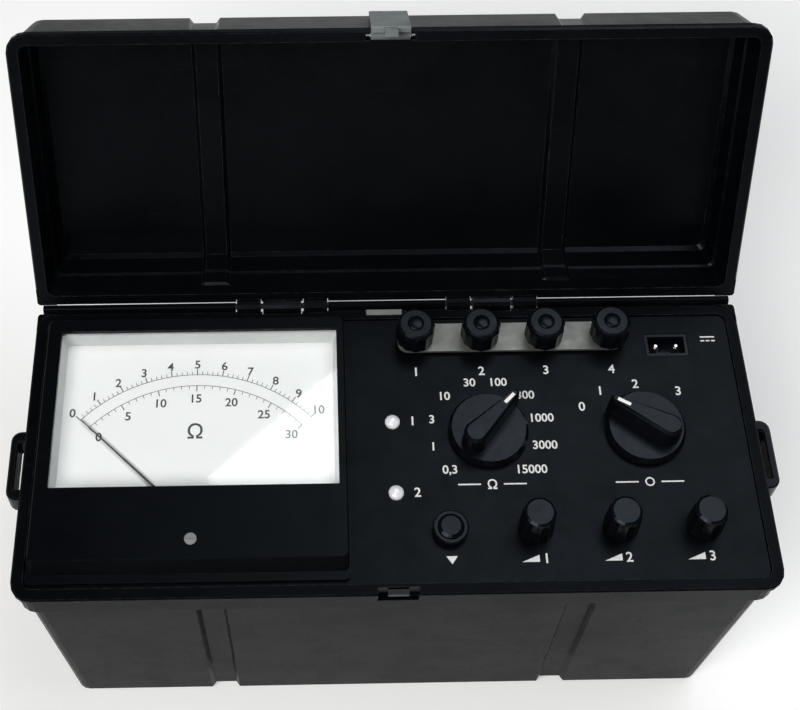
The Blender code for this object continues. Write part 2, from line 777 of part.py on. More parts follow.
def battery_parts(box_finish, pack_finish, door_finish):
    half = BATTERY_CAVITY + BATTERY_WALL
    loops = []
    for reach, z in ((BATTERY_CAVITY, BATTERY_BOX_TOP - BATTERY_WALL), (BATTERY_CAVITY, FLOOR + GAP),
                     (half, FLOOR + GAP), (half, BATTERY_BOX_TOP)):
        loops.append(box_loop(BATTERY_X - reach, BATTERY_X + reach, -reach, reach, COVER_CORNER, z))
    put("battery_box", skin(bmesh.new(), loops), box_finish)
    bottom = DOOR_THICK + GAP * 2
    rows = [pack_outline(bottom), pack_outline(bottom + CELL_HEIGHT)]
    put("battery_pack", skin(bmesh.new(), rows), pack_finish)
    door = bmesh.new()
    around(door, BATTERY_X, 0.0, DOOR_HALF_LENGTH, DOOR_HALF_DEPTH, GAP, GAP + DOOR_THICK)
    plate = put("battery_door", door, door_finish)
    holes = bmesh.new()
    for side in (-1, 1):
        place = (BATTERY_X, side * DOOR_SCREW_PLACE)
        wide = DOOR_SCREW_HEAD_RADIUS + GAP
        narrow = DOOR_SCREW_RADIUS + GAP
        seat = GAP * 2 + DOOR_SCREW_HEAD
        steps = ((wide, -OVERRUN), (wide, seat), (narrow, seat), (narrow, GAP + DOOR_THICK + OVERRUN))
        turned(holes, place, steps, 12)
    cut(plate, "door_screw_holes", holes)


def meter_cover(finish):
    """The raised cover over the movement: a drafted front, a lip round its foot and the window."""
    right = COVER_RIGHT
    edge = COVER_EDGE
    lip_top = ON_PANEL + COVER_LIP
    under = COVER_TOP - COVER_PLATE
    lip = (COVER_LEFT, right, COVER_FRONT_LIP, COVER_REAR)
    foot = (COVER_LEFT + edge, right - edge, COVER_FRONT_FOOT, COVER_REAR - edge)
    brow = (COVER_LEFT + edge, right - edge, COVER_FRONT_TOP, COVER_REAR - edge)
    top = (COVER_LEFT + edge * 2, right - edge * 2, COVER_FRONT_TOP + edge, COVER_REAR - edge * 2)
    window = (WINDOW_LEFT, WINDOW_RIGHT, WINDOW_FRONT, WINDOW_REAR)
    hollow = (HOLLOW_LEFT, HOLLOW_RIGHT, HOLLOW_FRONT, HOLLOW_REAR)
    loops = [
        box_loop(*lip, COVER_CORNER, ON_PANEL),
        box_loop(*lip, COVER_CORNER, lip_top),
        box_loop(*foot, COVER_CORNER, lip_top),
        box_loop(*brow, COVER_CORNER, COVER_TOP - edge),
        box_loop(*top, COVER_CORNER, COVER_TOP),
        box_loop(*window, COVER_EDGE, COVER_TOP),
        box_loop(*window, COVER_EDGE, under),
        box_loop(*hollow, COVER_EDGE, under),
        box_loop(*hollow, COVER_EDGE, ON_PANEL),
    ]
    cover = put("meter_cover", skin(bmesh.new(), loops, ring=True), finish)
    hole = bmesh.new()
    rod(hole, (CORRECTOR_X, CORRECTOR_Y), CORRECTOR_SHANK + GAP, under - OVERRUN, COVER_TOP + OVERRUN, 12)
    cut(cover, "corrector_hole", hole)


def dial_parts(surround_finish, glass_finish, dial_finish):
    under = COVER_TOP - COVER_PLATE
    glass_top = under - GAP
    glass_bottom = glass_top - GLASS_THICK
    top = glass_bottom - GAP
    left = HOLLOW_LEFT + GAP
    right = HOLLOW_RIGHT - GAP
    rear = HOLLOW_REAR - GAP
    flare = SURROUND_FLARE
    outer = (left, right, SURROUND_FRONT, rear)
    window = (WINDOW_LEFT, WINDOW_RIGHT, WINDOW_FRONT, WINDOW_REAR)
    inner = (WINDOW_LEFT + flare, WINDOW_RIGHT - flare, WINDOW_FRONT + flare, WINDOW_REAR - flare)
    loops = [
        box_loop(*outer, COVER_EDGE, SURROUND_BOTTOM),
        box_loop(*outer, COVER_EDGE, top),
        box_loop(*window, COVER_EDGE, top),
        box_loop(*inner, COVER_EDGE, SURROUND_BOTTOM),
    ]
    surround = put("dial_surround", skin(bmesh.new(), loops, ring=True), surround_finish)
    slot = bmesh.new()
    block(slot, PIVOT_X - HUB_WELL_HALF, PIVOT_X + HUB_WELL_HALF, SURROUND_FRONT - OVERRUN,
          WINDOW_FRONT + flare + OVERRUN, SURROUND_BOTTOM - OVERRUN, NEEDLE_BOTTOM + NEEDLE_THICK * 3)
    cut(surround, "needle_slot", slot)
    glass = bmesh.new()
    block(glass, left, right, SURROUND_FRONT, rear, glass_bottom, glass_top)
    put("meter_glass", glass, glass_finish)
    dial = bmesh.new()
    block(dial, left, right, SURROUND_FRONT, rear, DIAL_TOP - DIAL_THICK, DIAL_TOP)
    put("dial_plate", dial, dial_finish)


def meter_housing(finish):
    flange = bmesh.new()
    block(flange, HOLLOW_LEFT + GAP, HOLLOW_RIGHT - GAP, HOUSING_FLANGE_FRONT, HOLLOW_REAR - GAP,
          HOUSING_TOP - HOUSING_FLANGE, HOUSING_TOP)
    housing = put("meter_housing", flange, finish)
    tub = bmesh.new()
    block(tub, HOUSING_LEFT, HOUSING_RIGHT, HOUSING_FRONT, HOUSING_REAR, HOUSING_BOTTOM, HOUSING_TOP - GAP)
    add(housing, "housing_tub", tub)
    room = bmesh.new()
    wall = HOUSING_WALL
    block(room, HOUSING_LEFT + wall, HOUSING_RIGHT - wall, HOUSING_FRONT + wall, HOUSING_REAR - wall,
          HOUSING_BOTTOM + wall, HOUSING_TOP + OVERRUN)
    cut(housing, "housing_room", room)


def movement(frame_finish, magnet_finish, core_finish, spring_finish):
    """The moving-coil movement's fixed pieces: bridge frame, magnet, core and hairspring."""
    centre = (PIVOT_X, PIVOT_Y)
    outer = bmesh.new()
    around(outer, *centre, FRAME_HALF_WIDTH, FRAME_REACH, FRAME_BOTTOM, FRAME_TOP)
    frame = put("movement_frame", outer, frame_finish)
    low = FRAME_BOTTOM + FRAME_BAR
    high = FRAME_TOP - FRAME_BAR
    arm = CORE_RADIUS + GAP
    outline = []
    for side, levels in ((1, (low, LUG_ARM_BOTTOM, LUG_ARM_TOP, high)), (-1, (high, LUG_ARM_TOP, LUG_ARM_BOTTOM, low))):
        outline.append((PIVOT_Y + side * FRAME_OPENING, levels[0]))
        outline.append((PIVOT_Y + side * FRAME_OPENING, levels[1]))
        outline.append((PIVOT_Y + side * arm, levels[1]))
        outline.append((PIVOT_Y + side * arm, levels[2]))
        outline.append((PIVOT_Y + side * FRAME_OPENING, levels[2]))
        outline.append((PIVOT_Y + side * FRAME_OPENING, levels[3]))
    room = prism_along_x(bmesh.new(), outline, PIVOT_X - FRAME_REACH, PIVOT_X + FRAME_REACH)
    cut(frame, "frame_opening", room)
    bore = rod(bmesh.new(), centre, STAFF_HOLE, FRAME_BOTTOM - OVERRUN, FRAME_TOP + OVERRUN, 12)
    cut(frame, "staff_bores", bore)
    steps = ((MAGNET_INNER, CORE_BOTTOM), (MAGNET_OUTER, CORE_BOTTOM), (MAGNET_OUTER, CORE_TOP),
             (MAGNET_INNER, CORE_TOP))
    magnet = put("magnet", turned(bmesh.new(), centre, steps, 24, ring=True), magnet_finish)
    slots = bmesh.new()
    around(slots, *centre, FRAME_HALF_WIDTH + GAP, FRAME_REACH, MAGNET_SLOT_BOTTOM, CORE_TOP + OVERRUN)
    cut(magnet, "magnet_slots", slots)
    put("pole_core", rod(bmesh.new(), centre, CORE_RADIUS, CORE_BOTTOM, CORE_TOP, 20), core_finish)
    put("hairspring", hairspring(bmesh.new(), centre, HAIRSPRING_BOTTOM), spring_finish)


def hairspring(bm, centre, bottom):
    """A flat spiral strip of two and a half turns."""
    rows = []
    steps = 35
    for n in range(steps + 1):
        share = n / steps
        angle = share * 5 * math.pi
        reach = SPRING_INNER + (SPRING_OUTER - SPRING_INNER) * share
        row = []
        for side, z in ((0, bottom), (1, bottom), (1, bottom + SPRING_HEIGHT), (0, bottom + SPRING_HEIGHT)):
            radius = reach + side * SPRING_STRIP
            row.append((centre[0] + radius * math.cos(angle), centre[1] + radius * math.sin(angle), z))
        rows.append(row)
    return skin(bm, rows)


def moving_coil(finish):
    """The coil's frame round the core with its staff, turned to the needle's rest at zero."""
    rows = []
    for half, low, high, y in (
        (COIL_HALF, COIL_BOTTOM, COIL_TOP, -COIL_THICK / 2),
        (COIL_WINDOW_HALF, COIL_BOTTOM + COIL_BAR, COIL_TOP - COIL_BAR, -COIL_THICK / 2),
        (COIL_WINDOW_HALF, COIL_BOTTOM + COIL_BAR, COIL_TOP - COIL_BAR, COIL_THICK / 2),
        (COIL_HALF, COIL_BOTTOM, COIL_TOP, COIL_THICK / 2),
    ):
        rows.append([(-half, y, low), (half, y, low), (half, y, high), (-half, y, high)])
    pivot = Vector((PIVOT_X, PIVOT_Y, 0.0))
    coil = put("moving_coil", skin(bmesh.new(), rows, ring=True), finish)
    staffs = bmesh.new()
    rod(staffs, (0.0, 0.0), STAFF_RADIUS, COIL_TOP - COIL_BAR / 2, HUB_BOTTOM - GAP, 10)
    rod(staffs, (0.0, 0.0), STAFF_RADIUS, STAFF_BOTTOM, COIL_BOTTOM + COIL_BAR / 2, 10)
    staff = add(coil, "coil_staffs", staffs)
    for item in (coil, staff):
        item.location = pivot
        item.rotation_euler.z = SWEEP / 2


def needle(finish):
    """The pointer, its tail and its hub, turned to zero."""
    outline = [(-NEEDLE_TAIL_HALF, -NEEDLE_TAIL), (NEEDLE_TAIL_HALF, -NEEDLE_TAIL)]
    outline += [(NEEDLE_ROOT_HALF, 0.0), (NEEDLE_TIP_HALF, NEEDLE_LENGTH)]
    outline += [(-NEEDLE_TIP_HALF, NEEDLE_LENGTH), (-NEEDLE_ROOT_HALF, 0.0)]
    rows = [[(x, y, z) for x, y in outline] for z in (NEEDLE_BOTTOM, NEEDLE_BOTTOM + NEEDLE_THICK)]
    pointer = put("needle", skin(bmesh.new(), rows), finish)
    hub = add(pointer, "needle_hub", rod(bmesh.new(), (0.0, 0.0), HUB_RADIUS, HUB_BOTTOM, HUB_TOP, 14))
    for item in (pointer, hub):
        item.location = (PIVOT_X, PIVOT_Y, 0.0)
        item.rotation_euler.z = SWEEP / 2


def zero_corrector(finish):
    centre = (CORRECTOR_X, CORRECTOR_Y)
    bottom = COVER_TOP + GAP
    top = bottom + CORRECTOR_HEAD
    steps = ((CORRECTOR_SHANK, CORRECTOR_BOTTOM), (CORRECTOR_SHANK, bottom), (CORRECTOR_HEAD_RADIUS, bottom),
             (CORRECTOR_HEAD_RADIUS, top))
    pivot = Vector((*centre, 0.0))
    made = put("zero_corrector", turned(bmesh.new(), centre, steps, 14), finish, pivot)
    slot = bmesh.new()
    around(slot, *centre, CORRECTOR_HEAD_RADIUS + OVERRUN, CORRECTOR_SLOT / 2, top - CORRECTOR_HEAD / 2,
           top + OVERRUN)
    cut(made, "corrector_slot", slot)
    pin = rod(bmesh.new(), (CORRECTOR_X, CORRECTOR_Y + CORRECTOR_THROW), CORRECTOR_PIN, CORRECTOR_PIN_BOTTOM,
              CORRECTOR_BOTTOM + CORRECTOR_PIN, 8)
    add(made, "corrector_pin", pin)


def grip_outline(inset, z):
    """A tapered pointer bar along +X: a round back end and a narrow tip."""
    half = GRIP_HALF - inset
    tip = GRIP_TIP - inset
    tip_half = GRIP_TIP_HALF - inset / 2
    back = GRIP_HALF - GRIP_BACK
    points = []
    for n in range(9):
        angle = math.pi / 2 + n * math.pi / 8
        points.append((back + half * math.cos(angle), half * math.sin(angle), z))
    points += [(tip - tip_half, -tip_half, z), (tip, -tip_half / 2, z)]
    points += [(tip, tip_half / 2, z), (tip - tip_half, tip_half, z)]
    return points


def rotary_switch(body_name, shaft_name, knob_name, place, angle, body_finish, shaft_finish, knob_finish):
    """A wafer switch under the panel, its shaft and a skirted pointer knob."""
    bore = SHAFT_RADIUS + GAP
    profile = [(bore, NECK_TOP), (bore, SHAFT_BOTTOM - GAP)]
    outer = []
    for n in range(WAFER_COUNT):
        low = SWITCH_BOTTOM + n * WAFER_PITCH
        outer += [(SWITCH_RADIUS, low), (SWITCH_RADIUS, low + WAFER)]
        outer += [(SWITCH_HUB, low + WAFER), (SWITCH_HUB, low + WAFER_PITCH)]
    outer += [(SWITCH_RADIUS, BELOW_PANEL - WAFER), (SWITCH_RADIUS, BELOW_PANEL), (NECK_RADIUS, BELOW_PANEL)]
    outer += [(NECK_RADIUS, ON_PANEL), (NUT_RADIUS, ON_PANEL), (NUT_RADIUS, NECK_TOP)]
    put(body_name, turned(bmesh.new(), place, outer + profile, 12), body_finish)
    pivot = Vector((*place, 0.0))
    put(shaft_name, rod(bmesh.new(), place, SHAFT_RADIUS, SHAFT_BOTTOM, SHAFT_TOP), shaft_finish, pivot)
    skirt = ((SKIRT_RADIUS, KNOB_BOTTOM), (SKIRT_RADIUS, KNOB_BOTTOM + SKIRT_WALL),
             (SKIRT_RADIUS - SKIRT_EDGE, SKIRT_TOP))
    knob = put(knob_name, turned(bmesh.new(), (0.0, 0.0), skirt, 32), knob_finish)
    rows = [grip_outline(0.0, KNOB_BOTTOM + SKIRT_WALL), grip_outline(GRIP_DRAFT, GRIP_TOP - GRIP_EDGE),
            grip_outline(GRIP_DRAFT + GRIP_EDGE, GRIP_TOP)]
    grip = add(knob, knob_name + "_grip", skin(bmesh.new(), rows))
    hollow = ((KNOB_RECESS, KNOB_BOTTOM - OVERRUN), (KNOB_RECESS, KNOB_RECESS_TOP), (bore, KNOB_RECESS_TOP),
              (bore, SHAFT_TOP + GAP))
    socket = cut(knob, knob_name + "_socket", turned(bmesh.new(), (0.0, 0.0), hollow, 12))
    for item in (knob, grip, socket):
        item.location = pivot
        item.rotation_euler.z = angle


def trim_controls(pot_finish, knob_finish):
    """Potentiometers under the panel and tall fluted knobs moulded on their spindles."""
    bore = SHAFT_RADIUS + GAP
    for number, place in enumerate(TRIM_PLACES, 1):
        steps = ((bore, POT_BOTTOM), (POT_RADIUS, POT_BOTTOM), (POT_RADIUS, BELOW_PANEL),
                 (NECK_RADIUS, BELOW_PANEL), (NECK_RADIUS, POT_NECK_TOP), (bore, POT_NECK_TOP))
        put(f"trim_pot_{number}", turned(bmesh.new(), place, steps, 12, ring=True), pot_finish)
        steps = ((SHAFT_RADIUS, 0.0, SPINDLE_BOTTOM), (SHAFT_RADIUS, 0.0, KNOB_BOTTOM),
                 (TRIM_RADIUS, FLUTE_DEPTH, KNOB_BOTTOM),
                 (TRIM_RADIUS - FLUTE_DEPTH, FLUTE_DEPTH, TRIM_TOP - TRIM_ROUND),
                 (TRIM_RADIUS - TRIM_ROUND / 2, 0.0, TRIM_TOP - TRIM_ROUND / 3),
                 (TRIM_RADIUS - TRIM_ROUND, 0.0, TRIM_TOP))
        rows = [fluted(place, radius, depth, z) for radius, depth, z in steps]
        put(f"trim_knob_{number}", skin(bmesh.new(), rows), knob_finish, Vector((*place, 0.0)))


def push_button(button_finish, collar_finish, switch_finish, spring_finish):
    place = BUTTON_PLACE
    steps = ((BUTTON_STEM, BUTTON_STEM_BOTTOM), (BUTTON_STEM, BUTTON_HEAD_BOTTOM),
             (BUTTON_RADIUS, BUTTON_HEAD_BOTTOM), (BUTTON_RADIUS, BUTTON_TOP - BUTTON_EDGE),
             (BUTTON_RADIUS - BUTTON_EDGE * 2, BUTTON_TOP))
    put("measure_button", turned(bmesh.new(), place, steps, 20), button_finish, Vector((*place, 0.0)))
    stem_hole = BUTTON_STEM + GAP
    head_hole = BUTTON_RADIUS + GAP
    steps = ((stem_hole, COLLAR_BASE), (COLLAR_NECK, COLLAR_BASE), (COLLAR_NECK, ON_PANEL),
             (COLLAR_RADIUS, ON_PANEL), (COLLAR_RADIUS, COLLAR_TOP - BUTTON_EDGE),
             (COLLAR_RADIUS - BUTTON_EDGE, COLLAR_TOP), (head_hole, COLLAR_TOP),
             (head_hole, COLLAR_FLOOR_TOP), (stem_hole, COLLAR_FLOOR_TOP))
    put("button_collar", turned(bmesh.new(), place, steps, 16, ring=True), collar_finish)
    body = around(bmesh.new(), *place, BUTTON_SWITCH_HALF, BUTTON_SWITCH_HALF, BUTTON_SWITCH_BOTTOM,
                  COLLAR_BASE - GAP)
    switch = put("button_switch", body, switch_finish)
    cut(switch, "stem_room", rod(bmesh.new(), place, stem_hole, BUTTON_TRAVEL_ROOM, COLLAR_BASE + OVERRUN, 12))
    path = []
    low = COLLAR_FLOOR_TOP + GAP + RETURN_SPRING_WIRE
    high = BUTTON_HEAD_BOTTOM - GAP - RETURN_SPRING_WIRE
    count = int(RETURN_SPRING_TURNS * 10)
    for n in range(count + 1):
        angle = n * math.pi / 5
        x = place[0] + RETURN_SPRING_RADIUS * math.cos(angle)
        y = place[1] + RETURN_SPRING_RADIUS * math.sin(angle)
        path.append(Vector((x, y, low + (high - low) * n / count)))
    put("button_spring", tube(bmesh.new(), path, RETURN_SPRING_WIRE, 4), spring_finish)


def lamps(lens_finish):
    """Milky lenses, each held under the panel by its own flange."""
    for number, place in enumerate(LAMP_PLACES, 1):
        steps = ((LAMP_FLANGE_RADIUS, LAMP_BOTTOM), (LAMP_FLANGE_RADIUS, BELOW_PANEL), (LAMP_RADIUS, BELOW_PANEL),
                 (LAMP_RADIUS, LAMP_SHOULDER), (LAMP_RADIUS * 0.8, (LAMP_SHOULDER + LAMP_TOP) / 2),
                 (LAMP_RADIUS / 3, LAMP_TOP))
        put(f"lamp_lens_{number}", turned(bmesh.new(), place, steps, 16), lens_finish)


def terminals(stud_finish, link_finish, washer_finish, cap_finish):
    """Four studs fixed under the panel, the link bar across them, loose washers and fluted caps."""
    bore = STUD_RADIUS + GAP
    for number, x in enumerate(TERMINAL_PLACES, 1):
        place = (x, TERMINAL_Y)
        steps = ((STUD_RADIUS, STUD_BOTTOM), (STUD_RADIUS, NUT_BOTTOM), (NUT_RADIUS_SMALL, NUT_BOTTOM),
                 (NUT_RADIUS_SMALL, BELOW_PANEL), (STUD_RADIUS, BELOW_PANEL), (STUD_RADIUS, ON_PANEL),
                 (STUD_COLLAR_RADIUS, ON_PANEL), (STUD_COLLAR_RADIUS, STUD_COLLAR_TOP),
                 (STUD_RADIUS, STUD_COLLAR_TOP), (STUD_RADIUS, STUD_TOP))
        put(f"terminal_stud_{number}", turned(bmesh.new(), place, steps, 12), stud_finish)
    bore = STUD_RADIUS + GAP
    half = LINK_WIDTH / 2
    rows = [box_loop(LINK_LEFT, LINK_RIGHT, TERMINAL_Y - half, TERMINAL_Y + half, half - OVERRUN, z, 4)
            for z in (LINK_BOTTOM, LINK_TOP)]
    link = put("link_bar", skin(bmesh.new(), rows), link_finish)
    holes = bmesh.new()
    for x in TERMINAL_PLACES:
        rod(holes, (x, TERMINAL_Y), bore, LINK_BOTTOM - OVERRUN, LINK_TOP + OVERRUN, 14)
    cut(link, "link_holes", holes)
    for number, x in enumerate(TERMINAL_PLACES, 1):
        place = (x, TERMINAL_Y)
        pivot = Vector((*place, 0.0))
        steps = ((bore, WASHER_BOTTOM), (WASHER_RADIUS, WASHER_BOTTOM), (WASHER_RADIUS, WASHER_TOP),
                 (bore, WASHER_TOP))
        washer = turned(bmesh.new(), place, steps, 16, ring=True)
        put(f"terminal_washer_{number}", washer, washer_finish, pivot)
        steps = ((bore, 0.0, CAP_BOTTOM), (CAP_RADIUS, FLUTE_DEPTH, CAP_BOTTOM),
                 (CAP_RADIUS, FLUTE_DEPTH, CAP_TOP - CAP_ROUND),
                 (CAP_RADIUS - CAP_ROUND / 2, 0.0, CAP_TOP - CAP_ROUND / 4),
                 (CAP_RADIUS - CAP_ROUND, 0.0, CAP_TOP), (bore, 0.0, CAP_TOP))
        rows = [fluted(place, radius, depth, z) for radius, depth, z in steps]
        put(f"terminal_cap_{number}", skin(bmesh.new(), rows, ring=True), cap_finish, pivot)


def power_socket(body_finish, pin_finish):
    centre = (SOCKET_X, SOCKET_Y)
    body = around(bmesh.new(), *centre, SOCKET_HALF_X, SOCKET_HALF_Y, SOCKET_BOTTOM, BELOW_PANEL)
    socket = put("power_socket", body, body_finish)
    neck = around(bmesh.new(), *centre, SOCKET_NECK_X, SOCKET_NECK_Y, SOCKET_BOTTOM + OVERRUN, SOCKET_TOP)
    add(socket, "socket_neck", neck)
    room = around(bmesh.new(), *centre, SOCKET_NECK_X - SOCKET_WALL, SOCKET_NECK_Y - SOCKET_WALL,
                  SOCKET_RECESS_BOTTOM, SOCKET_TOP + OVERRUN)
    cut(socket, "socket_room", room)
    holes = bmesh.new()
    for side, name in ((-1, "socket_pin_left"), (1, "socket_pin_right")):
        place = (SOCKET_X + side * PIN_SPACING / 2, SOCKET_Y)
        steps = ((PIN_RADIUS, PIN_BOTTOM), (PIN_RADIUS, PIN_TOP - PIN_RADIUS / 2), (PIN_RADIUS / 2, PIN_TOP))
        put(name, turned(bmesh.new(), place, steps, 12), pin_finish)
        rod(holes, place, PIN_RADIUS + GAP, PIN_BOTTOM - GAP, SOCKET_RECESS_BOTTOM + OVERRUN, 12)
    cut(socket, "pin_holes", holes)


def circuit_board(finish):
    """The board that hangs from the panel's short pillars, with its soldered parts."""
    bm = block(bmesh.new(), BOARD_LEFT, BOARD_RIGHT, BOARD_FRONT, BOARD_REAR, BOARD_TOP - BOARD_THICK, BOARD_TOP)
    board = put("circuit_board", bm, finish)
    parts = bmesh.new()
    root = BOARD_TOP - BOARD_THICK / 2
    long_side, short_side, height = TRANSFORMER_SIZE
    around(parts, *TRANSFORMER_PLACE, long_side / 2, short_side / 2, root, BOARD_TOP + height)
    long_side, short_side, height = CHIP_SIZE
    for place in CHIP_PLACES:
        around(parts, *place, long_side / 2, short_side / 2, root, BOARD_TOP + height)
    for place in CAPACITOR_PLACES:
        rod(parts, place, CAPACITOR_RADIUS, root, BOARD_TOP + CAPACITOR_HEIGHT, 12)
    add(board, "soldered_parts", parts)


def lid(finish, carrier):
    """The lid: a shallow drafted tray with the same rim and grooves, which show inside as ribs."""
    share = math.sqrt(0.5)
    lip_top = LID_BOTTOM + RIM_THICK
    inner = LID_WALL_INSET + WALL
    slope = (LID_TOP_INSET - LID_WALL_INSET) / (LID_DEPTH - RIM_THICK - LID_ROUND)
    rib_inset = inner + slope * (LID_RIB_START - RIM_THICK)
    step_inset = inner + slope * (LID_STEP_PLACE - RIM_THICK)
    ceiling_inset = LID_TOP_INSET + WALL
    loops = [
        level(LID_TOP_INSET + LID_ROUND, WALL_CORNER, LID_TOP, 0.0, GROOVE_DEPTH),
        level(LID_TOP_INSET + LID_ROUND * (1 - share), WALL_CORNER, LID_TOP - LID_ROUND * (1 - share),
              GROOVE_DEPTH * share, GROOVE_DEPTH * share),
        level(LID_TOP_INSET, WALL_CORNER, LID_TOP - LID_ROUND, GROOVE_DEPTH),
        level(LID_WALL_INSET, COLLAR_CORNER, lip_top, LID_RIB_DEPTH),
        level(0.0, RIM_CORNER, lip_top),
        level(0.0, RIM_CORNER, LID_BOTTOM + RIM_EDGE),
        level(RIM_EDGE, RIM_CORNER - RIM_EDGE, LID_BOTTOM),
        level(RIM_WIDTH, INNER_CORNER, LID_BOTTOM),
        level(RIM_WIDTH, INNER_CORNER, LID_BOTTOM + LID_RIM_INSIDE / 2),
        level(inner + LID_STEP / 2, INNER_CORNER, LID_BOTTOM + LID_RIM_INSIDE),
        level(rib_inset, INNER_CORNER, LID_BOTTOM + LID_RIB_START),
        level(rib_inset, INNER_CORNER, LID_BOTTOM + LID_RIB_START + LID_STEP, LID_RIB_DEPTH),
        level(step_inset, INNER_CORNER, LID_BOTTOM + LID_STEP_PLACE, LID_RIB_DEPTH),
        level(step_inset + LID_STEP, INNER_CORNER, LID_BOTTOM + LID_STEP_PLACE + LID_STEP, LID_RIB_DEPTH),
        level(ceiling_inset, INNER_CORNER, LID_TOP - WALL - LID_ROUND / 2, GROOVE_DEPTH),
        level(ceiling_inset + LID_ROUND / 2, INNER_CORNER, LID_TOP - WALL, 0.0, GROOVE_DEPTH),
    ]
    made = put("lid", skin(bmesh.new(), loops, caps="strips"), finish, HINGE, carrier)
    front = -CASE_DEPTH / 2 - OVERRUN
    window = bmesh.new()
    block(window, -LATCH_SLOT_HALF, LATCH_SLOT_HALF, front, -LATCH_WINDOW_BACK, LID_BOTTOM - OVERRUN,
          LATCH_WINDOW_TOP)
    cut(made, "latch_window", window, HINGE, carrier)
    slot = bmesh.new()
    half = LATCH_PIN_RADIUS + GAP
    around(slot, 0.0, LATCH_PIVOT_Y, LATCH_PIN_HALF + GAP, half, LID_BOTTOM - OVERRUN, LATCH_PIVOT_Z + half)
    cut(made, "latch_pin_slot", slot, HINGE, carrier)
    pockets = bmesh.new()
    half = CASE_KNUCKLE_LENGTH / 2 + GAP
    for side in (-1, 1):
        for place in CASE_KNUCKLE_PLACES:
            block(pockets, side * place - half, side * place + half, HINGE_Y - KNUCKLE_POCKET,
                  HINGE_Y, LID_BOTTOM - OVERRUN, HINGE_Z + KNUCKLE_POCKET_TOP)
    cut(made, "lid_pockets", pockets, HINGE, carrier)
    knuckles = bmesh.new()
    half = LID_KNUCKLE_LENGTH / 2
    for side in (-1, 1):
        place = side * LID_KNUCKLE_PLACE
        prism_along_x(knuckles, lid_knuckle_outline(), place - half, place + half)
    add(made, "lid_knuckles", knuckles, HINGE, carrier)
    cut(made, "lid_rod_bore", rod_bore(), HINGE, carrier)
    return made


def lid_latch(finish, pin_finish, lid_carrier, latch_carrier):
    """A rocking latch: a plate with an eye on the pin and a hook that goes under the catch."""
    eye_y = LATCH_PIVOT_Y
    eye_z = LATCH_PIVOT_Z
    outline = [(-LATCH_FRONT, LATCH_FOOT + LATCH_ROUND), (-LATCH_FRONT + LATCH_ROUND, LATCH_FOOT)]
    outline += [(-LATCH_BACK, LATCH_FOOT), (-LATCH_BACK, eye_z - LATCH_ARM)]
    outline += arc_points(eye_y, eye_z, LATCH_EYE, 225.0, 495.0, 9)
    outline += [(-LATCH_BACK, eye_z + LATCH_ARM), (-LATCH_BACK, LATCH_TOP - LATCH_ROUND)]
    outline += [(-LATCH_BACK - LATCH_ROUND, LATCH_TOP), (-LATCH_FRONT + LATCH_ROUND, LATCH_TOP)]
    outline.append((-LATCH_FRONT, LATCH_TOP - LATCH_ROUND))
    plate = prism_along_x(bmesh.new(), outline, -LATCH_HALF, LATCH_HALF)
    latch = put("lid_latch", plate, finish, LATCH_PIVOT, latch_carrier)
    front = -LATCH_FRONT + LATCH_ROUND / 2
    top = LATCH_FOOT + LATCH_ROUND * 2
    nose = CATCH_BOTTOM - GAP
    hook = [(front, HOOK_BOTTOM), (-HOOK_TIP - LATCH_ROUND, HOOK_BOTTOM), (-HOOK_TIP, HOOK_BOTTOM + LATCH_ROUND)]
    hook += [(-HOOK_TIP, nose), (-LATCH_BACK, nose), (-LATCH_BACK - LATCH_ROUND / 2, top), (front, top)]
    tongue = prism_along_x(bmesh.new(), hook, -HOOK_HALF, HOOK_HALF)
    add(latch, "latch_hook", tongue, LATCH_PIVOT, latch_carrier)
    bore = arc_points(eye_y, eye_z, LATCH_PIN_RADIUS + GAP, 0.0, 330.0, 11)
    hole = prism_along_x(bmesh.new(), bore, -LATCH_HALF - OVERRUN, LATCH_HALF + OVERRUN)
    cut(latch, "latch_bore", hole, LATCH_PIVOT, latch_carrier)
    shape = arc_points(eye_y, eye_z, LATCH_PIN_RADIUS, 0.0, 330.0, 11)
    pin = prism_along_x(bmesh.new(), shape, -LATCH_PIN_HALF, LATCH_PIN_HALF)
    put("latch_pin", pin, pin_finish, HINGE, lid_carrier)


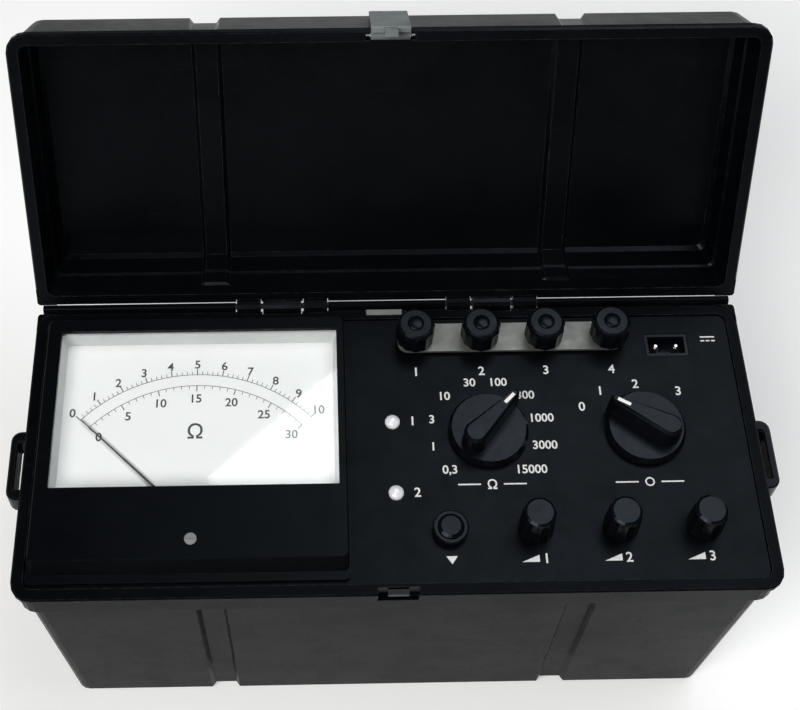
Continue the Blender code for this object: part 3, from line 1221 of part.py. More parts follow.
def main():
    clear_scene()
    black = material("black_moulding", (0.012, 0.012, 0.014), 0.22)
    panel_black = material("panel_black", (0.010, 0.010, 0.012), 0.35)
    knob_black = material("knob_black", (0.009, 0.009, 0.011), 0.28)
    grey = material("grey_plastic", (0.38, 0.39, 0.40), 0.45)
    steel = material("bright_steel", (0.62, 0.63, 0.65), 0.25, 1.0)
    grey_metal = material("grey_metal", (0.32, 0.33, 0.31), 0.40, 0.9)
    brass = material("brass", (0.72, 0.55, 0.25), 0.35, 1.0)
    white = material("dial_white", (0.82, 0.82, 0.80), 0.55)
    pale = material("pale_surround", (0.62, 0.63, 0.62), 0.50)
    glass = material("window_glass", (0.90, 0.93, 0.93), 0.03)
    milky = material("milky_lens", (0.80, 0.80, 0.78), 0.30)
    iron = material("soft_iron", (0.20, 0.20, 0.21), 0.50, 0.8)
    copper = material("copper_winding", (0.55, 0.22, 0.10), 0.40, 0.9)
    zinc = material("zinc_can", (0.45, 0.45, 0.42), 0.40, 0.7)
    brown = material("brown_laminate", (0.24, 0.12, 0.05), 0.60)
    case_body(black)
    hinge_rod(steel)
    hinge_keeper(grey_metal)
    strap_lugs(black)
    case_catch(steel)
    control_panel(panel_black)
    battery_parts(black, zinc, black)
    meter_housing(black)
    meter_cover(black)
    dial_parts(pale, glass, white)
    movement(brass, iron, iron, copper)
    moving_coil(copper)
    needle(panel_black)
    zero_corrector(steel)
    rotary_switch("range_switch", "range_shaft", "range_knob", RANGE_PLACE, RANGE_ANGLE, brown, steel, knob_black)
    rotary_switch("mode_switch", "mode_shaft", "mode_knob", MODE_PLACE, MODE_ANGLE, brown, steel, knob_black)
    trim_controls(brown, knob_black)
    push_button(knob_black, knob_black, brown, steel)
    lamps(milky)
    terminals(steel, grey_metal, steel, knob_black)
    power_socket(knob_black, steel)
    circuit_board(brown)
    lid_swing = empty("lid_swing", HINGE, -LID_OPEN_ANGLE)
    latch_swing = empty("latch_swing", LATCH_PIVOT - HINGE, -LATCH_RELEASE, lid_swing)
    lid(black, lid_swing)
    lid_latch(grey, steel, lid_swing, latch_swing)


main()
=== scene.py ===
"""Looks of the earth resistance meter: finishes, dial and panel print, screws, light and camera.

Lengths are in metres. Angles are in degrees where they aren't passed through math.radians.
"""

import math

import bmesh
import bpy
from mathutils import Matrix, Vector


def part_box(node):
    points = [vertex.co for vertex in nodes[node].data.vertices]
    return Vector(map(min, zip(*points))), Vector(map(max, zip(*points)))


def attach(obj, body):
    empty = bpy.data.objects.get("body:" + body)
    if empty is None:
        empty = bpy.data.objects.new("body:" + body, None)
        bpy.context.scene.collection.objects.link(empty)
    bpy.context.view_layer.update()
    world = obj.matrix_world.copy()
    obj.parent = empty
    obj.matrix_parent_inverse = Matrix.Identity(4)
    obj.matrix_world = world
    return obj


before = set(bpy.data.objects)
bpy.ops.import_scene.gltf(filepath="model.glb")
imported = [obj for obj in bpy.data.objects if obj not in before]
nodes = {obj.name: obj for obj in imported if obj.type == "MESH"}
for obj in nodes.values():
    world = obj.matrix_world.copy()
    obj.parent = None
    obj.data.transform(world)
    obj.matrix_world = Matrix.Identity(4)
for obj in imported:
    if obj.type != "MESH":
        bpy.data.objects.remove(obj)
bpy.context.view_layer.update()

# Camera, solved from the straight edges of the case in the photograph
IMAGE_WIDTH = 800.0
IMAGE_HEIGHT = 710.0
FOCAL_PIXELS = 1515.3
CENTRE_PIXEL = (334.2, 207.1)
ELEVATION = math.radians(55.76)
AZIMUTH = math.radians(-1.24)
ROLL = math.radians(0.24)
AIM = Vector((-0.0211, 0.1195, 0.120))
DISTANCE = 0.6762
SENSOR = 36.0
CLIP_START = 0.01

# Print heights and sizes. STROKE thickens each letter on both sides, and CAPITAL_SHARE is the height
# of a capital in this font as a share of the font's size.
PRINT_LIFT = 0.00006
PANEL_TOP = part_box("control_panel")[1].z
GRIP_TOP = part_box("range_knob")[1].z
DIAL_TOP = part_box("dial_plate")[1].z
STROKE = 0.00009
CAPITAL_SHARE = 0.73
FONT_STEPS = 4
DIAL_TEXT = 0.0038
OHM_TEXT = 0.0066
PANEL_TEXT = 0.0040
RANGE_TEXT = 0.0037
THIN_LINE = 0.00026
TICK_LINE = 0.00040
ARC_STEPS = 96
FULL_TURN = 360.0

# Dial: the outer scale runs 0 to 10 with ticks outward, the inner one 0 to 30 with ticks inward
DIAL_CENTRE = Vector((-0.079, -0.0303))
DIAL_LEFT = 136.3
DIAL_SWEEP = 92.6
DIAL_SCALES = (
    {
        "radius": 0.0645,
        "outward": 1.0,
        "ticks": 50,
        "label_radius": 0.0692,
        "labels": 10,
        "label_step": 1,
    },
    {
        "radius": 0.0595,
        "outward": -1.0,
        "ticks": 30,
        "label_radius": 0.0536,
        "labels": 6,
        "label_step": 5,
    },
)
LONG_TICK_EVERY = 5
LONG_TICK = 0.0026
SHORT_TICK = 0.0015
OHM_PLACE = (-0.0791, 0.0088)

# Range and mode switches
RANGE_CENTRE = Vector((0.0385, 0.0051))
RANGE_LABELS = ("0,3", "1", "3", "10", "30", "100", "300", "1000", "3000", "15000")
RANGE_LABEL_RADIUS = 0.0231
RANGE_FIRST = 225.0
RANGE_STEP = 30.0
RANGE_ANGLE = math.radians(45.0)
MODE_CENTRE = Vector((0.1015, 0.0051))
MODE_ANGLE = math.radians(150.0)
MODE_LABELS = (
    ("0", 0.0773, 0.0158),
    ("1", 0.0855, 0.0228),
    ("2", 0.1002, 0.0257),
    ("3", 0.1173, 0.0222),
)
LINE_START = 0.0085
LINE_END = 0.0140
LINE_HALF = 0.0007

# Captions below the switches: a sign between two bars
CAPTION_Y = -0.0174
RANGE_CAPTION_X = 0.0385
MODE_CAPTION_X = 0.1005
CAPTION_BAR = (0.0045, 0.0135)
CAPTION_RING = 0.0016
CAPTION_RING_STEPS = 20
BAR_WIDTH = 0.0006

# Small marks on the panel
TERMINAL_LABEL_Y = 0.0327
LAMP_LABELS = (("1", 0.0084, 0.0105), ("2", 0.0090, -0.0203))
LOW_ROW_Y = -0.0481
BUTTON_MARK_X = 0.0208
BUTTON_MARK = ((-0.0022, 0.0014), (0.0022, 0.0014), (0.0, -0.0018))
PRESET_MARK_X = (0.0524, 0.0840, 0.1158)
PRESET_WEDGE = ((-0.0050, -0.0014), (0.0018, -0.0014), (0.0018, 0.0014))
PRESET_LABEL_SHIFT = 0.0045
SUPPLY_LEFT = 0.1300
SUPPLY_RIGHT = 0.1360
SUPPLY_LINE_Y = 0.0470
SUPPLY_DASH_Y = 0.0452
SUPPLY_DASHES = 3
SUPPLY_DASH = 0.0016
SUPPLY_DASH_STEP = 0.0022

# Turned and joined forms
TURNED_STEPS = 28
SMOOTH_BELOW = math.radians(35.0)
MERGE_DISTANCE = 0.00003

# Rear bead between the hinge knuckles
HINGE_Y = 0.0641
HINGE_Z = 0.128
BEAD_RADIUS = 0.0016
BEAD_SIDES = 16
BEAD_START = 270.0
BEAD_SWEEP = 270.0
BEAD_RUNS = ((-0.1442, -0.0635), (-0.0247, 0.0247), (0.0635, 0.1442))
BEAD_FACE = 0.0622
BEAD_WEB_TOP = 0.1272
ROD_BORE = 0.00125
ROD_BORE_LENGTH = 0.131

# Rear corners of the two rims, filled from the CAD's round corner out to a nearly square one
RIM_CORNER = 0.00802
RIM_SIDE = 0.1465
RIM_REAR = 0.0621
SMALL_CORNER = 0.0015
CORNER_STEPS = 8
CASE_CORNER_HEIGHTS = (0.1250, 0.1273)
LID_CORNER_HEIGHTS = (0.1280, 0.1304)
LID_OPEN_TURN = math.radians(-114.6)

# Domed buttons in the terminal caps
TERMINAL_PLACES = (0.0109, 0.0378, 0.0643, 0.0913)
TERMINAL_Y = 0.0473
BUTTON_RADIUS = 0.0034
BUTTON_EDGE = PRINT_LIFT * 3
BUTTON_RISE = 0.0010
BUTTON_STEPS = 6

# Screws: pan heads under the base, driven upwards
CASE_SCREWS = ((-0.130, -0.049), (-0.008, -0.049), (-0.010, 0.049), (0.130, -0.049), (0.130, 0.049))
CASE_SCREW = {
    "head_radius": 0.0029,
    "head": 0.0021,
    "seat": 0.00695,
    "shank_radius": 0.00155,
    "length": 0.0220,
    "pitch": 0.0007,
}
DOOR_SCREWS = ((-0.068, -0.0465), (-0.068, 0.0465))
DOOR_SCREW = {
    "head_radius": 0.0022,
    "head": 0.00105,
    "seat": 0.00168,
    "shank_radius": 0.00112,
    "length": 0.0090,
    "pitch": 0.0005,
}
CROWN_RADIUS_SHARE = 0.55
SHOULDER_RADIUS_SHARE = 0.86
SHOULDER_HEIGHT_SHARE = 0.12
WALL_HEIGHT_SHARE = 0.5
CORE_SHARE = 0.8
RECESS_REACH_SHARE = 0.55
RECESS_HALF_SHARE = 0.13
RECESS_BAR_SHARE = 1.55
RECESS_DROP_SHARE = 0.225

# Floor, world and lamps
FLOOR_HALF = 3.0
FLOOR_DROP = 0.0002
FLOOR_COLOUR = (0.86, 0.86, 0.86, 1.0)
FLOOR_ROUGHNESS = 0.9
FLOOR_GLOW = 0.22
WORLD_LIGHT = 0.45
WORLD_SEEN = 1.0
LAMPS = (
    {
        "name": "key",
        "place": (-0.55, -0.75, 1.25),
        "target": (0.0, 0.0, 0.10),
        "size": (0.9, 0.6),
        "watts": 17.0,
        "colour": (1.0, 0.99, 0.97),
    },
    {
        "name": "top",
        "place": (0.45, 0.35, 1.45),
        "target": (0.0, 0.05, 0.12),
        "size": (1.2, 0.8),
        "watts": 12.0,
        "colour": (0.96, 0.98, 1.0),
    },
    {
        "name": "front",
        "place": (0.10, -1.40, 0.55),
        "target": (0.0, 0.0, 0.08),
        "size": (0.9, 0.5),
        "watts": 1.2,
        "colour": (1.0, 0.97, 0.93),
    },
)

# Finishes: how drift, grain, cloud, chips and streaks are spread over a surface
RAMP_ENDS = (0.3, 0.7)
DRIFT = {"detail": 5.0, "roughness": 0.6}
GRAIN = {"detail": 3.0, "roughness": 0.65}
CLOUD = {"detail": 6.0, "roughness": 0.7}
CLOUD_SCALE = 3.0
CHIPS = {"scale": 260.0, "detail": 4.0, "roughness": 0.7}
CHIP_LEVELS = {"low": 0.15, "high": 1.0, "start": 0.42, "end": 0.62}
EDGE_SAMPLES = 4
EDGE_ALIGNMENT = {"start": 0.80, "end": 0.99}
STREAKS = {"scale": 3.0, "detail": 8.0, "roughness": 0.75}
STREAK_STRETCH = (9.0, 90.0, 30.0)
STREAK_LEVELS = {"low": 0.0, "high": 1.0, "start": 0.60, "end": 0.78}
SCUFF_ROUGHER = 0.12
GLASS_IOR = 1.45

# Sockets of the Mix node when it mixes colours
MIX_UNDER = 6
MIX_OVER = 7
MIX_RESULT = 2


def noise(tree, where, scale, detail, roughness):
    """A noise texture in object coordinates."""
    made = tree.nodes.new("ShaderNodeTexNoise")
    made.inputs["Scale"].default_value = scale
    made.inputs["Detail"].default_value = detail
    made.inputs["Roughness"].default_value = roughness
    tree.links.new(where, made.inputs["Vector"])
    return made.outputs["Fac"]


def spread(tree, value, low, high, start=0.3, end=0.7):
    """Maps the part of a value from start to end onto low..high."""
    made = tree.nodes.new("ShaderNodeMapRange")
    made.inputs["From Min"].default_value = start
    made.inputs["From Max"].default_value = end
    made.inputs["To Min"].default_value = low
    made.inputs["To Max"].default_value = high
    tree.links.new(value, made.inputs["Value"])
    return made.outputs["Result"]


def stretched(tree, where, factors):
    """The same coordinates, scaled along each axis, for brushed or drawn marks."""
    made = tree.nodes.new("ShaderNodeMapping")
    made.inputs["Scale"].default_value = factors
    tree.links.new(where, made.inputs["Vector"])
    return made.outputs["Vector"]


def joined(tree, operation, first, second):
    """Two values joined by a sum, a product or the like."""
    made = tree.nodes.new("ShaderNodeMath")
    made.operation = operation
    tree.links.new(first, made.inputs[0])
    tree.links.new(second, made.inputs[1])
    return made.outputs["Value"]


def laid_over(tree, factor, under, over):
    """A plain colour over another, as far as the factor says."""
    mix = tree.nodes.new("ShaderNodeMix")
    mix.data_type = "RGBA"
    tree.links.new(factor, mix.inputs["Factor"])
    tree.links.new(under, mix.inputs[MIX_UNDER])
    mix.inputs[MIX_OVER].default_value = (*over, 1.0)
    return mix.outputs[MIX_RESULT]


def worn_edges(tree, where, radius, amount):
    """How far an edge is worn and carries a painted glint, up to the amount, broken up by chips."""
    round_edge = tree.nodes.new("ShaderNodeBevel")
    round_edge.samples = EDGE_SAMPLES
    round_edge.inputs["Radius"].default_value = radius
    geometry = tree.nodes.new("ShaderNodeNewGeometry")
    compare = tree.nodes.new("ShaderNodeVectorMath")
    compare.operation = "DOT_PRODUCT"
    tree.links.new(round_edge.outputs["Normal"], compare.inputs[0])
    tree.links.new(geometry.outputs["Normal"], compare.inputs[1])
    on_edge = spread(tree, compare.outputs["Value"], amount, 0.0, **EDGE_ALIGNMENT)
    chips = spread(tree, noise(tree, where, **CHIPS), **CHIP_LEVELS)
    return joined(tree, "MULTIPLY", on_edge, chips)


def roughened(tree, marks, rough):
    """The roughness, raised where the marks are."""
    made = tree.nodes.new("ShaderNodeMath")
    made.operation = "MULTIPLY_ADD"
    tree.links.new(marks, made.inputs[0])
    made.inputs[1].default_value = SCUFF_ROUGHER
    tree.links.new(rough, made.inputs[2])
    return made.outputs["Value"]


def finish(
    name,
    dark,
    light,
    gloss,
    metallic=0.0,
    specular=0.5,
    patch=22.0,
    grain=1400.0,
    bump=0.05,
    bump_depth=0.0001,
    stretch=None,
    wear_and_glint=None,
    wear_and_glint_amount=0.5,
    edge=0.0006,
    scuff=None,
    coat=0.0,
    tint=None,
    ior=1.5,
):
    """A worn surface.

    Its colour drifts from dark to light, its roughness varies in patches, and it has a fine bump.
    Where wear_and_glint is given, chipped edges show that colour, partly as wear and partly as a
    painted edge highlight, and where scuff is given, long streaks do.
    """
    made = bpy.data.materials.new(name)
    made.use_nodes = True
    tree = made.node_tree
    shader = tree.nodes["Principled BSDF"]
    where = tree.nodes.new("ShaderNodeTexCoord").outputs["Object"]
    drift = noise(tree, where, patch, **DRIFT)
    ramp = tree.nodes.new("ShaderNodeValToRGB")
    for element, position, shade in zip(ramp.color_ramp.elements, RAMP_ENDS, (dark, light)):
        element.position = position
        element.color = (*shade, 1.0)
    tree.links.new(drift, ramp.inputs["Fac"])
    colour = ramp.outputs["Color"]
    fine_where = where if stretch is None else stretched(tree, where, stretch)
    fine = noise(tree, fine_where, grain, **GRAIN)
    bump_node = tree.nodes.new("ShaderNodeBump")
    bump_node.inputs["Strength"].default_value = bump
    bump_node.inputs["Distance"].default_value = bump_depth
    tree.links.new(fine, bump_node.inputs["Height"])
    tree.links.new(bump_node.outputs["Normal"], shader.inputs["Normal"])
    cloud = noise(tree, where, patch * CLOUD_SCALE, **CLOUD)
    rough = spread(tree, cloud, gloss[0], gloss[1])
    # Lighter colour on the edges: partly wear, partly a painted edge highlight
    if wear_and_glint is not None:
        wear_glint_mask = worn_edges(tree, where, edge, wear_and_glint_amount)
        colour = laid_over(tree, wear_glint_mask, colour, wear_and_glint)
    if scuff is not None:
        streak = noise(tree, stretched(tree, where, STREAK_STRETCH), **STREAKS)
        marks = spread(tree, streak, **STREAK_LEVELS)
        colour = laid_over(tree, marks, colour, scuff)
        rough = roughened(tree, marks, rough)
    tree.links.new(colour, shader.inputs["Base Color"])
    tree.links.new(rough, shader.inputs["Roughness"])
    shader.inputs["Metallic"].default_value = metallic
    shader.inputs["Specular IOR Level"].default_value = specular
    shader.inputs["Coat Weight"].default_value = coat
    shader.inputs["IOR"].default_value = ior
    if tint is not None:
        shader.inputs["Specular Tint"].default_value = (*tint, 1.0)
    return made


def glass(name, colour, gloss):
    """Clear glass. Lamp light and diffuse light pass straight through, so it darkens nothing."""
    made = finish(name, colour, colour, gloss, bump=0.01, patch=60.0)
    tree = made.node_tree
    shader = tree.nodes["Principled BSDF"]
    shader.inputs["Transmission Weight"].default_value = 1.0
    shader.inputs["IOR"].default_value = GLASS_IOR
    clear = tree.nodes.new("ShaderNodeBsdfTransparent")
    rays = tree.nodes.new("ShaderNodeLightPath")
    mix = tree.nodes.new("ShaderNodeMixShader")
    passing = joined(tree, "MAXIMUM", rays.outputs["Is Shadow Ray"], rays.outputs["Is Diffuse Ray"])
    tree.links.new(passing, mix.inputs["Fac"])
    tree.links.new(shader.outputs["BSDF"], mix.inputs[1])
    tree.links.new(clear.outputs["BSDF"], mix.inputs[2])
    tree.links.new(mix.outputs["Shader"], tree.nodes["Material Output"].inputs["Surface"])
    return made


# The black mouldings reflect slightly blue, and their edges are painted greyer: partly worn plastic,
# partly a painted highlight for the glint on their rims
BLUE_BLACK = (0.72, 0.84, 1.0)
moulding = {
    "dark": (0.0010, 0.0014, 0.0020),
    "light": (0.0026, 0.0032, 0.0042),
    "patch": 14.0,
    "grain": 1800.0,
    "bump": 0.12,
    # Painted edge highlight: this grey on the edges is partly wear and partly stands for light
    # glinting on the rims
    "wear_and_glint": (0.050, 0.054, 0.060),
    "wear_and_glint_amount": 0.7,
    "scuff": (0.0055, 0.0060, 0.0070),
    "tint": BLUE_BLACK,
}
black_moulding = finish("lid_moulding", gloss=(0.20, 0.36), specular=0.08, **moulding)
case_moulding = finish("case_moulding", gloss=(0.20, 0.34), specular=0.5, ior=1.09, **moulding)
panel_black = finish(
    "panel_moulding",
    dark=(0.0008, 0.0012, 0.0016),
    light=(0.0018, 0.0024, 0.0030),
    gloss=(0.26, 0.40),
    specular=0.06,
    patch=20.0,
    grain=2200.0,
    bump=0.10,
    wear_and_glint=(0.016, 0.018, 0.022),
    wear_and_glint_amount=0.5,
    scuff=(0.0035, 0.0040, 0.0046),
    tint=BLUE_BLACK,
)
knob_black = finish(
    "knob_moulding",
    dark=(0.0012, 0.0018, 0.0028),
    light=(0.0030, 0.0040, 0.0056),
    gloss=(0.18, 0.32),
    specular=0.12,
    patch=60.0,
    grain=2600.0,
    bump=0.08,
    wear_and_glint=(0.022, 0.027, 0.036),
    wear_and_glint_amount=0.6,
    edge=0.0004,
    tint=BLUE_BLACK,
)
finishes = {
    "black_moulding": black_moulding,
    "panel_black": panel_black,
    "knob_black": knob_black,
    "latch_grey": finish(
        "latch_grey_plastic",
        dark=(0.085, 0.10, 0.10),
        light=(0.15, 0.175, 0.175),
        gloss=(0.38, 0.55),
        patch=90.0,
        bump=0.15,
        wear_and_glint=(0.30, 0.33, 0.33),
        wear_and_glint_amount=0.6,
        edge=0.0004,
        scuff=(0.05, 0.055, 0.055),
    ),
    "bright_steel": finish(
        "plated_steel",
        dark=(0.50, 0.51, 0.53),
        light=(0.68, 0.69, 0.71),
        gloss=(0.16, 0.34),
        metallic=1.0,
        patch=120.0,
        grain=900.0,
        bump=0.10,
        stretch=(1.0, 1.0, 14.0),
    ),
    "grey_metal": finish(
        "dull_strip",
        dark=(0.12, 0.125, 0.115),
        light=(0.20, 0.205, 0.19),
        gloss=(0.34, 0.56),
        metallic=0.55,
        patch=70.0,
        grain=700.0,
        bump=0.18,
        stretch=(1.0, 16.0, 16.0),
        wear_and_glint=(0.36, 0.36, 0.33),
        wear_and_glint_amount=0.5,
        edge=0.0003,
        scuff=(0.09, 0.088, 0.07),
    ),
    "brass": finish(
        "turned_brass",
        dark=(0.50, 0.34, 0.13),
        light=(0.72, 0.53, 0.24),
        gloss=(0.20, 0.38),
        metallic=1.0,
        patch=120.0,
        grain=900.0,
        bump=0.12,
        stretch=(1.0, 1.0, 18.0),
    ),
    "dial_white": finish(
        "dial_paint",
        dark=(0.86, 0.865, 0.855),
        light=(0.90, 0.905, 0.895),
        gloss=(0.42, 0.58),
        patch=18.0,
        grain=1500.0,
        bump=0.04,
        specular=0.3,
    ),
    "pale_surround": finish(
        "surround_plastic",
        dark=(0.52, 0.54, 0.54),
        light=(0.66, 0.675, 0.67),
        gloss=(0.40, 0.58),
        patch=40.0,
        grain=1500.0,
        bump=0.06,
        wear_and_glint=(0.78, 0.79, 0.78),
        wear_and_glint_amount=0.4,
        edge=0.0003,
    ),
    "window_glass": glass("window_pane", (0.97, 0.99, 0.99), (0.01, 0.04)),
    "milky_lens": finish(
        "milky_lens_plastic",
        dark=(0.66, 0.67, 0.70),
        light=(0.80, 0.81, 0.84),
        gloss=(0.14, 0.28),
        patch=300.0,
        grain=2600.0,
        bump=0.05,
        coat=0.3,
    ),
    "soft_iron": finish(
        "oxidised_iron",
        dark=(0.07, 0.07, 0.075),
        light=(0.15, 0.15, 0.155),
        gloss=(0.42, 0.62),
        metallic=0.8,
        patch=90.0,
        grain=900.0,
        bump=0.3,
        wear_and_glint=(0.4, 0.4, 0.41),
        wear_and_glint_amount=0.5,
    ),
    "copper_winding": finish(
        "wound_copper",
        dark=(0.42, 0.14, 0.05),
        light=(0.66, 0.27, 0.11),
        gloss=(0.24, 0.40),
        metallic=0.9,
        patch=140.0,
        grain=1200.0,
        bump=0.6,
        stretch=(1.0, 1.0, 10.0),
    ),
    "battery_sleeve": finish(
        "cell_sleeve",
        dark=(0.05, 0.09, 0.16),
        light=(0.08, 0.13, 0.22),
        gloss=(0.28, 0.46),
        patch=40.0,
        bump=0.12,
        wear_and_glint=(0.3, 0.33, 0.36),
        wear_and_glint_amount=0.4,
    ),
    "brown_laminate": finish(
        "board_laminate",
        dark=(0.15, 0.075, 0.022),
        light=(0.24, 0.125, 0.045),
        gloss=(0.38, 0.55),
        patch=60.0,
        grain=900.0,
        bump=0.25,
        stretch=(1.0, 8.0, 1.0),
    ),
    "needle_black": finish(
        "needle_paint",
        dark=(0.016, 0.016, 0.017),
        light=(0.032, 0.032, 0.034),
        gloss=(0.40, 0.60),
        patch=200.0,
        bump=0.05,
    ),
}
dark_steel = finish(
    "dark_steel",
    dark=(0.010, 0.011, 0.013),
    light=(0.030, 0.032, 0.036),
    gloss=(0.38, 0.58),
    metallic=0.7,
    patch=120.0,
    grain=900.0,
    bump=0.15,
    stretch=(14.0, 1.0, 1.0),
)
satin_steel = finish(
    "satin_steel",
    dark=(0.16, 0.165, 0.17),
    light=(0.27, 0.275, 0.28),
    gloss=(0.34, 0.50),
    metallic=0.8,
    patch=200.0,
    grain=900.0,
    bump=0.15,
    wear_and_glint=(0.42, 0.42, 0.43),
    wear_and_glint_amount=0.5,
    edge=0.0003,
)
# Pieces whose finish differs from the rest of their slot
special = {
    "case_body": case_moulding,
    "hinge_rod": dark_steel,
    "case_catch": dark_steel,
    "zero_corrector": satin_steel,
}
for name, node in nodes.items():
    for slot in node.material_slots:
        key = slot.material.name.split(".")[0]
        slot.material = special.get(name, finishes[key])


def print_ink(name, colour, gaps):
    """Screen print or paint: a flat ink with small thin places."""
    return finish(
        name,
        dark=tuple(part * gaps for part in colour),
        light=colour,
        gloss=(0.45, 0.62),
        patch=900.0,
        grain=3000.0,
        bump=0.08,
    )


white_ink = print_ink("white_print", (0.74, 0.75, 0.74), 0.72)
mark_paint = print_ink("white_mark_paint", (0.86, 0.86, 0.84), 0.86)
dial_ink = print_ink("dial_print_ink", (0.040, 0.042, 0.045), 0.7)
fine_ink = print_ink("fine_scale_ink", (0.10, 0.105, 0.11), 0.8)


def text_mesh(text, size):
    """The text as a flat mesh, centred on the origin."""
    curve = bpy.data.curves.new("text_form", "FONT")
    curve.body = text
    curve.size = size / CAPITAL_SHARE
    curve.align_x = "CENTER"
    curve.align_y = "CENTER"
    curve.resolution_u = FONT_STEPS
    curve.offset = STROKE
    maker = bpy.data.objects.new("text_form", curve)
    bpy.context.scene.collection.objects.link(maker)
    bpy.context.view_layer.update()
    graph = bpy.context.evaluated_depsgraph_get()
    mesh = bpy.data.meshes.new_from_object(maker.evaluated_get(graph))
    bpy.data.objects.remove(maker)
    bpy.data.curves.remove(curve)
    xs = [v.co.x for v in mesh.vertices]
    ys = [v.co.y for v in mesh.vertices]
    middle = Vector((-(min(xs) + max(xs)) / 2.0, -(min(ys) + max(ys)) / 2.0, 0.0))
    mesh.transform(Matrix.Translation(middle))
    return mesh


def write(bm, text, x, y, z, size):
    """Adds the text to the mesh, centred on a point."""
    mesh = text_mesh(text, size)
    mesh.transform(Matrix.Translation((x, y, z)))
    bm.from_mesh(mesh)
    bpy.data.meshes.remove(mesh)


def flat_face(bm, corners, z):
    """A flat face with these corners."""
    bm.faces.new([bm.verts.new((x, y, z)) for x, y in corners])


def strip(bm, start, end, width, z):
    """A flat line between two points."""
    a = Vector(start)
    b = Vector(end)
    side = (b - a).normalized()
    side = Vector((-side.y, side.x)) * (width / 2.0)
    flat_face(bm, (a - side, b - side, b + side, a + side), z)


def polar(centre, radius, degrees):
    """The point at a radius and an angle from a centre."""
    turn = math.radians(degrees)
    return centre + Vector((math.cos(turn), math.sin(turn))) * radius


def arc(bm, centre, radius, start, end, width, z, steps=ARC_STEPS):
    """A flat band along an arc, in one run of faces."""
    inner = []
    outer = []
    for step in range(steps + 1):
        degrees = start + (end - start) * step / steps
        near = polar(centre, radius - width / 2.0, degrees)
        far = polar(centre, radius + width / 2.0, degrees)
        inner.append(bm.verts.new((near.x, near.y, z)))
        outer.append(bm.verts.new((far.x, far.y, z)))
    for step in range(steps):
        bm.faces.new((inner[step], inner[step + 1], outer[step + 1], outer[step]))


def piece(name, bm, material, body, smooth=False):
    """Makes an object of the mesh that rides on a body."""
    bmesh.ops.recalc_face_normals(bm, faces=bm.faces)
    mesh = bpy.data.meshes.new(name)
    bm.to_mesh(mesh)
    bm.free()
    made = bpy.data.objects.new(name, mesh)
    bpy.context.scene.collection.objects.link(made)
    mesh.materials.append(material)
    if smooth:
        mesh.shade_smooth()
        mesh.set_sharp_from_angle(angle=SMOOTH_BELOW)
    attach(made, body)
    return made


def flat_piece(name, bm, material, body):
    """A flat print whose faces all look up."""
    made = piece(name, bm, material, body)
    for face in made.data.polygons:
        if face.normal.z < 0.0:
            face.flip()
    return made


def dial_print():
    """The numerals and the two scales on the dial plate."""
    z = DIAL_TOP + PRINT_LIFT
    bold = bmesh.new()
    fine = bmesh.new()
    for scale in DIAL_SCALES:
        arc(fine, DIAL_CENTRE, scale["radius"], DIAL_LEFT, DIAL_LEFT - DIAL_SWEEP, THIN_LINE, z)
    for scale in DIAL_SCALES:
        for step in range(scale["ticks"] + 1):
            whole = step % LONG_TICK_EVERY == 0
            degrees = DIAL_LEFT - DIAL_SWEEP * step / scale["ticks"]
            reach = scale["outward"] * (LONG_TICK if whole else SHORT_TICK)
            start = polar(DIAL_CENTRE, scale["radius"], degrees)
            end = polar(DIAL_CENTRE, scale["radius"] + reach, degrees)
            strip(fine, start, end, TICK_LINE if whole else THIN_LINE, z + PRINT_LIFT)
    for scale in DIAL_SCALES:
        for number in range(scale["labels"] + 1):
            degrees = DIAL_LEFT - DIAL_SWEEP * number / scale["labels"]
            place = polar(DIAL_CENTRE, scale["label_radius"], degrees)
            write(bold, str(number * scale["label_step"]), place.x, place.y, z, DIAL_TEXT)
    write(bold, "Ω", *OHM_PLACE, z, OHM_TEXT)
    flat_piece("dial_numerals", bold, dial_ink, "case")
    flat_piece("dial_scales", fine, fine_ink, "case")


def captions(bm, z):
    """An ohm sign and a ring, each between two bars."""
    write(bm, "Ω", RANGE_CAPTION_X, CAPTION_Y, z, PANEL_TEXT)
    near, far = CAPTION_BAR
    for centre in (RANGE_CAPTION_X, MODE_CAPTION_X):
        for side in (-1.0, 1.0):
            start = (centre + side * near, CAPTION_Y)
            end = (centre + side * far, CAPTION_Y)
            strip(bm, start, end, BAR_WIDTH, z)
    ring_centre = Vector((MODE_CAPTION_X, CAPTION_Y))
    arc(bm, ring_centre, CAPTION_RING, 0.0, FULL_TURN, BAR_WIDTH, z, CAPTION_RING_STEPS)


def low_row(bm, z):
    """The push button's triangle, and a wedge and a number for each preset knob."""
    flat_face(bm, [(BUTTON_MARK_X + x, LOW_ROW_Y + y) for x, y in BUTTON_MARK], z)
    for number, centre in enumerate(PRESET_MARK_X, 1):
        write(bm, str(number), centre + PRESET_LABEL_SHIFT, LOW_ROW_Y, z, PANEL_TEXT)
        flat_face(bm, [(centre + x, LOW_ROW_Y + y) for x, y in PRESET_WEDGE], z)


def supply_mark(bm, z):
    """The sign for direct current: a line over dashes."""
    strip(bm, (SUPPLY_LEFT, SUPPLY_LINE_Y), (SUPPLY_RIGHT, SUPPLY_LINE_Y), BAR_WIDTH, z)
    for step in range(SUPPLY_DASHES):
        start = SUPPLY_LEFT + step * SUPPLY_DASH_STEP
        strip(bm, (start, SUPPLY_DASH_Y), (start + SUPPLY_DASH, SUPPLY_DASH_Y), BAR_WIDTH, z)


